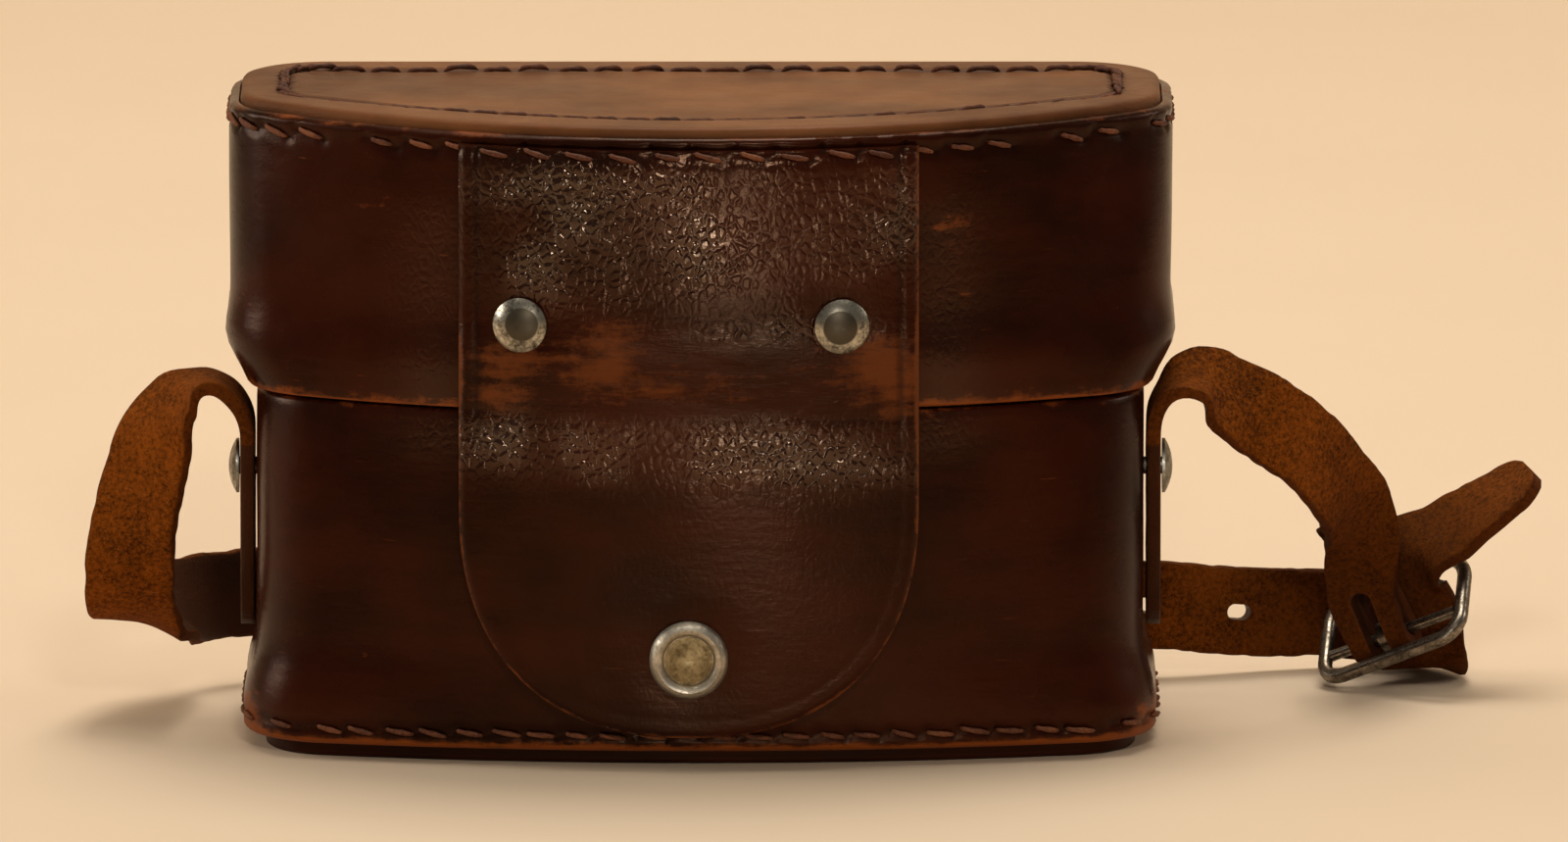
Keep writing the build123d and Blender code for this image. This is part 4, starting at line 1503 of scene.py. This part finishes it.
class BuckleSpace:
    """Directions and places of the buckle."""

    bar = Vector((0.84, -0.38, 0.39)).normalized()
    far_guess = Vector((0.09, 0.804, 0.589))
    far = (far_guess - bar * bar.dot(far_guess)).normalized()
    lift = bar.cross(far)
    corner = beside(1, 26.4, HALF_DEPTH - 0.1, 1.1)

    @classmethod
    def at(cls, along: float, far: float, up: float = 0.0) -> Vector:
        """Place in the buckle's own frame."""
        return cls.corner + cls.bar * along + cls.far * far + cls.lift * up


@dataclass
class Strap:
    """Leather strap shaped along its cuts."""

    name: str
    flesh_side: int
    ragged: float
    thickness: float = 2.2
    cuts: list[Cut] = field(default_factory=list)
    bulge: Vector | None = None
    tail_rows: int = 32

    def ring(self) -> Array:
        """Section of the strap, once round.

        Returns:
            Shares of its half width and half thickness, one pair a row.
        """
        top = [(a, 1.0) for a in np.linspace(-0.93, 0.93, 11)]
        right = [(0.985, 0.8), (1.0, 0.4), (1.0, 0.0), (1.0, -0.4), (0.985, -0.8)]
        bottom = [(a, -1.0) for a in np.linspace(0.93, -0.93, 11)]
        left = [(-0.985, -0.8), (-1.0, -0.4), (-1.0, 0.0), (-1.0, 0.4), (-0.985, 0.8)]
        return np.array(top + right + bottom + left)

    def build(self, material: bpy.types.Material) -> bpy.types.Object:
        """Make the strap's mesh from its cuts.

        Args:
            material: Finish of the strap.

        Returns:
            The strap, with closed ends and no holes yet.
        """
        ring = self.ring()
        size = len(ring)
        piece = surface_grid(self.name, size, len(self.cuts) - 1)
        around, level = grid_shares(piece)
        column = np.rint(around * size).astype(int) % size
        row = np.rint(level * (len(self.cuts) - 1)).astype(int)
        middles = np.array([cut.middle for cut in self.cuts])
        acrosses = np.array([cut.across for cut in self.cuts])
        faces = np.array([cut.face for cut in self.cuts])
        widths = np.array([cut.width for cut in self.cuts])
        steps = np.linalg.norm(np.diff(middles, axis=0), axis=1)
        travel = np.concatenate([[0], np.cumsum(steps)])[row]
        a, b = ring[column, 0], ring[column, 1]
        edge = smooth(0.8, 1.0, np.abs(a))
        flesh = smooth(-0.3, 0.9, b * self.flesh_side)
        notches = grain_noise(np.stack([travel, np.sign(a) * 20, b * 0.6], axis=1), 1.9, 1.0)
        slow = grain_noise(np.stack([travel, np.sign(a) * 9, 0 * b], axis=1), 12.0, 3.0)
        nap = grain_noise(np.stack([travel, a * widths[row] / 2, b], axis=1), 2.3, 5.0)
        half = widths[row] / 2
        shift = edge * (np.minimum(notches, 0.2) * self.ragged - 0.12 + 0.1 * slow)
        thick = self.thickness / 2 - 0.04 + np.where(np.abs(b) > 0.9, -0.05 + 0.07 * nap * flesh, 0)
        if self.bulge is not None:
            flat = middles[row] + acrosses[row] * (a * half)[:, None]
            apart = np.linalg.norm(flat - np.array(self.bulge), axis=1)
            thick = thick + 0.3 * (b > 0) * hump(apart, 0.0, 2.4, 4)
        points = (middles[row] + acrosses[row] * (a * (half + shift))[:, None]
                  + faces[row] * (b * thick)[:, None])
        set_places(piece, points)
        core = edge * (np.abs(b) < 0.9)
        on_tail = (row < self.tail_rows) * 1.0
        # Painted shade on the straps, strongest near the buckle's corner and gone beyond 44 mm
        near = np.linalg.norm(points - np.array(BuckleSpace.at(9.0, 5.0)), axis=1)
        mark(piece, flesh=np.clip(flesh * (1 - core) + core, 0, 1) * (1 - 0.75 * on_tail),
             handled=1 - smooth(10.0, 44.0, near), core=core)
        close_up(piece, 50)
        cap_ends()
        return dress(piece, material)


def tail_cuts(side: int, foot: float, top: float) -> list[Cut]:
    """Cuts of a strap's end that lies flat up a side wall, rounded at its foot.

    Args:
        side: -1 for the left wall and 1 for the right wall.
        foot: Height of the end in millimetres.
        top: Height at which the strap leaves the wall.

    Returns:
        The cuts.
    """
    cuts = []
    for rise in list(np.arange(0, 5, 0.5)) + list(np.arange(5, top - foot, 1.0)):
        width = STRAP_WIDTH * float(np.interp(rise, (0, 0.8, 2.4, 5), (0.45, 0.7, 0.92, 1)))
        cuts.append(Cut(beside(side, 1.4, -1.0, foot + rise), UP, DEPTH, width))
    return cuts


def run_cuts(route: Route, widths: Callable[[float], float], step: float) -> list[Cut]:
    """Cuts along a route.

    Args:
        route: Line of the strap.
        widths: Width from the share of the way along.
        step: Distance between cuts in millimetres.

    Returns:
        The cuts.
    """
    count = int(route.marks[-1] / step)
    cuts = []
    for mark in np.linspace(0, route.marks[-1], count + 1):
        place, along, across = route.at(mark)
        cuts.append(Cut(place, along, across, widths(mark / route.marks[-1])))
    return cuts


def facing(middle: Vector, x_way: Vector, z_way: Vector) -> Matrix:
    """Set up a frame at a place.

    Args:
        middle: Place in millimetres.
        x_way: Direction near which its X lies.
        z_way: Direction of its Z.

    Returns:
        The frame's matrix, in metres.
    """
    z_way = z_way.normalized()
    y_way = z_way.cross(x_way).normalized()
    turn = Matrix((y_way.cross(z_way), y_way, z_way)).transposed().to_4x4()
    return Matrix.Translation(middle * MM) @ turn


# Places of the long strap's middle line and its directions across, from the left wall to its free end
LONG_STOPS = (
    (beside(-1, 1.4, -1, 43.5), (0, 1, 0)),
    (beside(-1, 3.4, -1, 48.6), (0, 1, 0)),
    (beside(-1, 7.4, -1, 50.6), (-0.1, 1, 0)),
    (beside(-1, 11.6, -1.2, 48.2), (-0.55, 0.8, 0)),
    (beside(-1, 15.4, -1.5, 39.5), (-0.85, 0.5, 0)),
    (beside(-1, 17.6, -1.2, 30.4), (-0.92, 0.38, 0)),
    (beside(-1, 18.4, 0.5, 22), (-1, 0.1, 0)),
    (beside(-1, 18, 6, 16), (-1, 0, 0.05)),
    (beside(-1, 15.4, 15.5, 14), (-0.85, 0.1, 0.5)),
    (beside(-1, 9, 30, 13.4), (-0.4, -0.3, 0.9)),
    (behind(-0.92, 8.2, 13.3), (0, 0.1, 1)),
    (behind(-0.6, 9.2, 13.4), (0, 0.2, 1)),
    (behind(0, 9.4, 13.4), (0, 1, 0)),
    (behind(0.6, 9.2, 12.2), (0, 0.2, -1)),
    (beside(1, 6.8, 40, 10.2), (0, 0, -1)),
    (beside(1, 20, 44.4, 8.6), (0, 0, -1)),
    (beside(1, 30.4, 46, 7.9), (0, 0.1, -0.99)),
    (beside(1, 37.6, 44.6, 6), (0.3, 0.4, -0.87)),
    (beside(1, 41.2, 39.2, 3.9), (0.85, 0.4, -0.35)),
    (beside(1, 41, 34.9, 3.3), (0.97, -0.05, 0.05)),
    (BuckleSpace.at(12.8, 11, -2.8), (0.92, -0.3, 0.25)),
    (BuckleSpace.at(12.8, 12.9, 0), (0.87, -0.4, 0.2)),
    (BuckleSpace.at(15.8, 14.4, 4.2), (0.84, -0.5, 0)),
    (beside(1, 44.3, 33, 22.6), (0.6, -0.74, -0.18)),
    (beside(1, 48.3, 32.8, 25.4), (0.46, -0.86, -0.2)),
    (beside(1, 53, 33.2, 28.6), (0.34, -0.92, -0.15)),
    (beside(1, 56.4, 33.6, 31.4), (0.28, -0.94, -0.12)),
)

# Places of the short strap's middle line and its directions across, up to where its fold begins
SHORT_STOPS = (
    (beside(1, 1.4, -1, 43.5), (0, 1, 0)),
    (beside(1, 2.6, -1, 48.4), (0, 1, 0)),
    (beside(1, 6.6, -0.2, 50.9), (0.05, 0.95, 0.3)),
    (beside(1, 12, 2.3, 48.1), (0.2, 0.65, 0.72)),
    (beside(1, 18, 5, 43.9), (0.35, 0.4, 0.85)),
    (beside(1, 24, 9, 38.8), (0.42, 0.55, 0.72)),
    (beside(1, 28.4, 15, 32.6), (0.5, 0.72, 0.48)),
    (beside(1, 31, 22.5, 27), (0.74, 0.45, 0.4)),
    (beside(1, 31.8, 26.8, 20.6), (0.88, -0.1, 0.2)),
)


def long_width(share: float) -> float:
    """Width of the long strap, which ends in a round point."""
    tip = (1 - share) / 0.016
    return STRAP_WIDTH * (1.0 if tip >= 1 else 0.4 + 0.6 * math.sqrt(1 - (1 - tip) ** 2))


def short_width(share: float) -> float:
    """Width of the short strap, which narrows towards the buckle."""
    return STRAP_WIDTH - 3.5 * max(0.0, (share - 0.55) / 0.45)


@dataclass(frozen=True)
class CarryingStraps:
    """Long and short strap, which meet at the buckle.

    A hole is given by its radius, its depth and how much longer than round it is.
    """

    material: bpy.types.Material
    foot: float = 16.0
    tail_top: float = 43.0
    step: float = 0.7
    hole_shares: tuple = (0.7565, 0.7096, 0.6626)
    bar_radius: float = 0.8
    bar_slack: float = 0.25
    half_thickness: float = 1.1
    fold_width: float = 9.5
    fold_length: float = 18.6
    fold_apart: float = 2.4
    rivet_share: float = 0.7857
    spare_hole: tuple[float, float, float] = (1.15, 8.0, 1.3)
    prong_hole: tuple[float, float, float] = (1.1, 12.0, 1.4)
    fold_slot: tuple[float, float, float] = (1.5, 14.0, 8.6)

    def long(self) -> bpy.types.Object:
        """Make the strap that runs from the left side, behind the case and through the buckle.

        Returns:
            The strap with its holes, riding on its own body.
        """
        route = Route(LONG_STOPS, UP, Vector((0.72, 0.12, 0.68)))
        strap = Strap("long_strap_leather", flesh_side=-1, ragged=0.3)
        strap.cuts = tail_cuts(-1, self.foot, self.tail_top) + run_cuts(route, long_width, self.step)
        piece = strap.build(self.material)
        for share in self.hole_shares:
            place, along, across = route.at(share * route.marks[-1])
            cut_hole(piece, punch(facing(place, along, along.cross(across)), *self.spare_hole))
        root, bend = BuckleSpace.at(10.4, 6.25, 0.2), BuckleSpace.at(10.4, 15.1, 1.75)
        across_bar = (bend - root).cross(BuckleSpace.bar)
        cut_hole(piece, punch(facing((root + bend) / 2, across_bar, bend - root), *self.prong_hole))
        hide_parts("strap_long")
        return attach(piece, Body.LONG_STRAP.value)

    def folded_back(self, run: list[Cut], fold_start: Vector, eye: float) -> list[Cut]:
        """Cuts of the short strap's end, which lies back along its own run.

        Args:
            run: Cuts of the run up to the fold.
            fold_start: Where the fold begins.
            eye: Radius of the fold's middle line in millimetres.

        Returns:
            The cuts.
        """
        back, travelled, last = [], 0.0, fold_start
        for cut in reversed(run[:-1]):
            travelled += (cut.middle - last).length
            last = cut.middle
            if travelled > self.fold_length:
                break
            apart = 2 * eye + (self.fold_apart - 2 * eye) * min(1.0, travelled / 8)
            back.append(Cut(cut.middle - cut.face * apart, -cut.along, cut.across, cut.width))
        return back

    def short(self) -> bpy.types.Object:
        """Make the strap from the right side, folded round the buckle's bar.

        Returns:
            The strap with the slot for the prong, riding on its own body.
        """
        bar = BuckleSpace.bar
        guess = Vector((0.35, -0.1, -0.93))
        fold_way = (guess - bar * guess.dot(bar)).normalized()
        fold_face = fold_way.cross(bar)
        eye = self.bar_radius + self.bar_slack + self.half_thickness
        bar_middle = BuckleSpace.at(10.0, 4.7)
        fold_start = bar_middle + fold_face * eye
        fold_stops = ((fold_start - fold_way * 6.5, (0.86, -0.3, 0.3)), (fold_start, tuple(bar)))
        route = Route(SHORT_STOPS + fold_stops, UP, fold_way)
        strap = Strap("short_strap_leather", flesh_side=1, ragged=0.35)
        run = run_cuts(route, short_width, self.step)
        turn = []
        for angle in np.linspace(0, math.pi, 15)[1:]:
            out = (fold_face * math.cos(angle) + fold_way * math.sin(angle)) * eye
            along = fold_way * math.cos(angle) - fold_face * math.sin(angle)
            turn.append(Cut(bar_middle + out, along, bar, self.fold_width))
        back = self.folded_back(run, fold_start, eye)
        strap.cuts = tail_cuts(1, self.foot, self.tail_top) + run + turn + back
        strap.bulge = route.at(self.rivet_share * route.marks[-1])[0]
        piece = strap.build(self.material)
        slot_middle = bar_middle + fold_way * (eye - 3.75)
        cut_hole(piece, punch(facing(slot_middle, fold_way, fold_face), *self.fold_slot))
        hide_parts("strap_short")
        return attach(piece, Body.SHORT_STRAP.value)


# Pieces carried over from the frame


@dataclass(frozen=True)
class Fittings:
    """Metal, lining and inner pieces that keep their CAD shape."""

    nickel: TarnishedMetal = TarnishedMetal(
        "rivet_nickel", (0.6, 0.55, 0.45, 1), (0.035, 0.024, 0.012, 1), 0.18,
        centres=((-0.02545, -0.0335, 0.0644), (0.02005, -0.0345, 0.0640)))
    ring: TarnishedMetal = TarnishedMetal("stud_nickel", (0.66, 0.6, 0.5, 1), (0.36, 0.3, 0.22, 1), 0.3)
    brass: TarnishedMetal = TarnishedMetal("stud_brass", (0.33, 0.25, 0.13, 1), (0.15, 0.1, 0.045, 1), 0.4)
    steel: TarnishedMetal = TarnishedMetal(
        "buckle_nickel", (0.34, 0.29, 0.23, 1), (0.05, 0.034, 0.022, 1), 0.2)
    hidden: TarnishedMetal = TarnishedMetal(
        "washer_nickel", (0.5, 0.48, 0.43, 1), (0.2, 0.17, 0.12, 1), 0.35)
    lining: NappedLining = NappedLining("lining_velvet", (0.022, 0.009, 0.005, 1), (0.13, 0.055, 0.028, 1))
    board: NappedLining = NappedLining("fibre_board", (0.09, 0.05, 0.025, 1), (0.24, 0.15, 0.08, 1))
    sole: PolishedLeather = PolishedLeather("base_hide", gloss=0.45)

    def finish(self) -> None:
        """Give each node its finish."""
        groups = (
            (self.nickel, ("tongue_rivets",)),
            (self.ring, ("snap_cap", "snap_socket", "snap_stud")),
            (self.brass, ("snap_cap_disc",)),
            (self.steel, ("fold_rivet", "buckle_frame", "buckle_bar", "buckle_prong")),
            (self.hidden, (
                "side_rivets", "side_rivet_washers", "tongue_rivet_washers", "snap_stud_washer")),
            (self.lining, ("body_liner", "lid_liner")),
            (self.board, ("base_board",)),
            (self.sole, ("base_panel",)),
        )
        for finish, names in groups:
            material = finish.build()
            for name in names:
                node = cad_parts[name]
                node.data.materials.clear()
                node.data.materials.append(material)
            LOG.info("%s: %s", finish.name, ", ".join(names))


# Table, wall, lamps and camera


@dataclass(frozen=True)
class Lamp:
    """Soft lamp, square unless it has a height, with its measures in metres and its power in watts."""

    name: str
    place: tuple[float, float, float]
    size: float
    power: float
    target: tuple[float, float, float] = (0.0, 0.0, 0.05)
    height: float = 0.0
    colour: tuple[float, float, float] = (1.0, 0.94, 0.84)

    def hang(self) -> None:
        """Add the lamp, pointing at its target."""
        light = bpy.data.lights.new(self.name, "AREA")
        light.size = self.size
        light.energy = self.power
        light.color = self.colour
        if self.height:
            light.shape = "RECTANGLE"
            light.size_y = self.height
        holder = bpy.data.objects.new(self.name, light)
        bpy.context.collection.objects.link(holder)
        place, target = Vector(self.place), Vector(self.target)
        holder.location = place
        holder.rotation_euler = (target - place).to_track_quat("-Z", "Y").to_euler()


LAMPS = (
    Lamp("softbox_above", (0.1, 0.35, 1.15), 0.5, 6.2),
    Lamp("lamp_front", (0.08, -1.0, 0.6), 0.12, 2.9),
    Lamp("lamp_low", (0.03, -0.37, 0.024), 0.06, 0.08, target=(0.0, 0.0, 0.07), height=0.018),
    Lamp("softbox_left", (-1.2, 0.1, 0.5), 0.5, 5.6),
    Lamp("softbox_right", (1.2, 0.3, 0.6), 0.5, 2.2),
    Lamp("wall_wash", (0.0, 0.2, 1.5), 1.2, 10.5, target=(0.0, 1.15, 0.35)),
)


@dataclass(frozen=True)
class Studio:
    """Pale table, warm wall, soft lamps and the camera."""

    wall: Colour = (0.84, 0.66, 0.46, 1)
    table: Colour = (0.74, 0.58, 0.42, 1)
    table_shade: Colour = (0.7, 0.54, 0.38, 1)
    room: Colour = (1.0, 0.92, 0.8, 1)
    room_strength: float = 0.13
    side: float = 6.0
    wall_depth: float = 1.15
    distance: float = 4.0
    elevation: float = 10.2
    field_width: float = 0.2238
    sensor: float = 36.0
    looked_at: tuple[float, float, float] = (0.0119, 0.0, 0.0447)

    def floor(self) -> None:
        """Make the table with the wall rising behind it."""
        bpy.ops.object.select_all(action="DESELECT")
        bpy.ops.mesh.primitive_plane_add(size=self.side, location=(0, 0, 0))
        table = bpy.context.object
        table.name = "table_top"
        graph = Graph("table_paint")
        tone = graph.blend(graph.noise(9.0, 3.0), self.table, self.table_shade)
        table.data.materials.append(graph.shade({"Base Color": tone, "Roughness": 0.7}))
        bpy.ops.object.select_all(action="DESELECT")
        place, turn = (0, self.wall_depth, 1.0), (math.pi / 2, 0, 0)
        bpy.ops.mesh.primitive_plane_add(size=self.side, location=place, rotation=turn)
        wall = bpy.context.object
        wall.name = "wall"
        wall.data.materials.append(self.one_sided_paint())

    def one_sided_paint(self) -> bpy.types.Material:
        """Make the wall's paint, which can be looked through from behind.

        Returns:
            The finish.
        """
        graph = Graph("wall_paint")
        paint = graph.shade({"Base Color": self.wall, "Roughness": 0.9})
        behind_it = graph.add("ShaderNodeNewGeometry", {}, {}).outputs["Backfacing"]
        clear = graph.add("ShaderNodeBsdfTransparent", {}, {}).outputs[0]
        mix = graph.add("ShaderNodeMixShader", {}, {0: behind_it, 1: graph.shader.outputs[0], 2: clear})
        graph.put(graph.tree.nodes["Material Output"].inputs["Surface"], mix.outputs[0])
        return paint

    def lights(self) -> None:
        """Hang the lamps and set the room's light."""
        for lamp in LAMPS:
            lamp.hang()
        world = bpy.data.worlds.new("room")
        world.use_nodes = True
        backdrop = world.node_tree.nodes["Background"]
        backdrop.inputs["Color"].default_value = self.room
        backdrop.inputs["Strength"].default_value = self.room_strength
        bpy.context.scene.world = world
        bpy.context.scene.view_settings.view_transform = "Standard"

    def camera(self) -> None:
        """Place the camera at the photograph's angle."""
        lens = bpy.data.cameras.new("camera")
        holder = bpy.data.objects.new("camera", lens)
        bpy.context.collection.objects.link(holder)
        angle = math.radians(self.elevation)
        look = Vector((0, math.cos(angle), -math.sin(angle)))
        holder.location = Vector(self.looked_at) - look * self.distance
        holder.rotation_mode = "QUATERNION"
        holder.rotation_quaternion = look.to_track_quat("-Z", "Y")
        lens.lens = self.sensor * self.distance / self.field_width
        lens.clip_start = 0.05
        lens.clip_end = 20
        bpy.context.scene.camera = holder


def lid_thread_stand(x: float, y: float) -> float:
    """How far outside the lid its thread lies, which is over the tongue where they cross.

    Args:
        x: Place across in millimetres.
        y: Place in depth in millimetres.

    Returns:
        Distance in millimetres.
    """
    on_tongue = y < 0 and abs(x - TONGUE_MIDDLE) < TONGUE_HALF - 0.5
    return (TONGUE_OFF_LID if on_tongue else 0.0) - THREAD_SINK


def log_faces(name: str, piece: bpy.types.Object) -> None:
    """Log how many faces a piece has."""
    LOG.info("%s: %d faces", name, len(piece.data.polygons))


def main() -> None:
    """Build the case in order: leather, stitches, straps, fittings and the studio."""
    logging.basicConfig(level=logging.INFO, format="%(name)s %(message)s")
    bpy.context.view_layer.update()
    case = CaseLeather()
    body = case.body()
    hide = body.data.materials[0]
    roof_hide = PolishedLeather("roof_hide", (0.06, 0.018, 0.0055, 1), (0.18, 0.066, 0.022, 1), gloss=0.46)
    log_faces("body wall", body)
    log_faces("lid wall", case.lid(hide))
    log_faces("top panel", case.panel(roof_hide.build()))
    log_faces("hinge strip", HingeStrip().build(hide))
    log_faces("tongue", Tongue().build())

    thread = TwistedThread("rust_thread").build()
    dark_thread = TwistedThread("dark_thread", (0.15, 0.045, 0.017, 1), (0.035, 0.01, 0.005, 1)).build()
    sew(LID_ROW, "lid_stitches", Body.LID, thread, lid_thread_stand)
    sew(BOTTOM_ROW, "bottom_stitches", Body.CASE, thread, lambda x, y: -THREAD_SINK)
    sew(TOP_ROW, "top_stitches", Body.LID, dark_thread, lambda x, y: 0.0)

    straps = CarryingStraps(StrapLeather().build())
    log_faces("long strap", straps.long())
    log_faces("short strap", straps.short())
    Fittings().finish()

    studio = Studio()
    studio.floor()
    studio.lights()
    studio.camera()


if __name__ == "__main__":
    main()
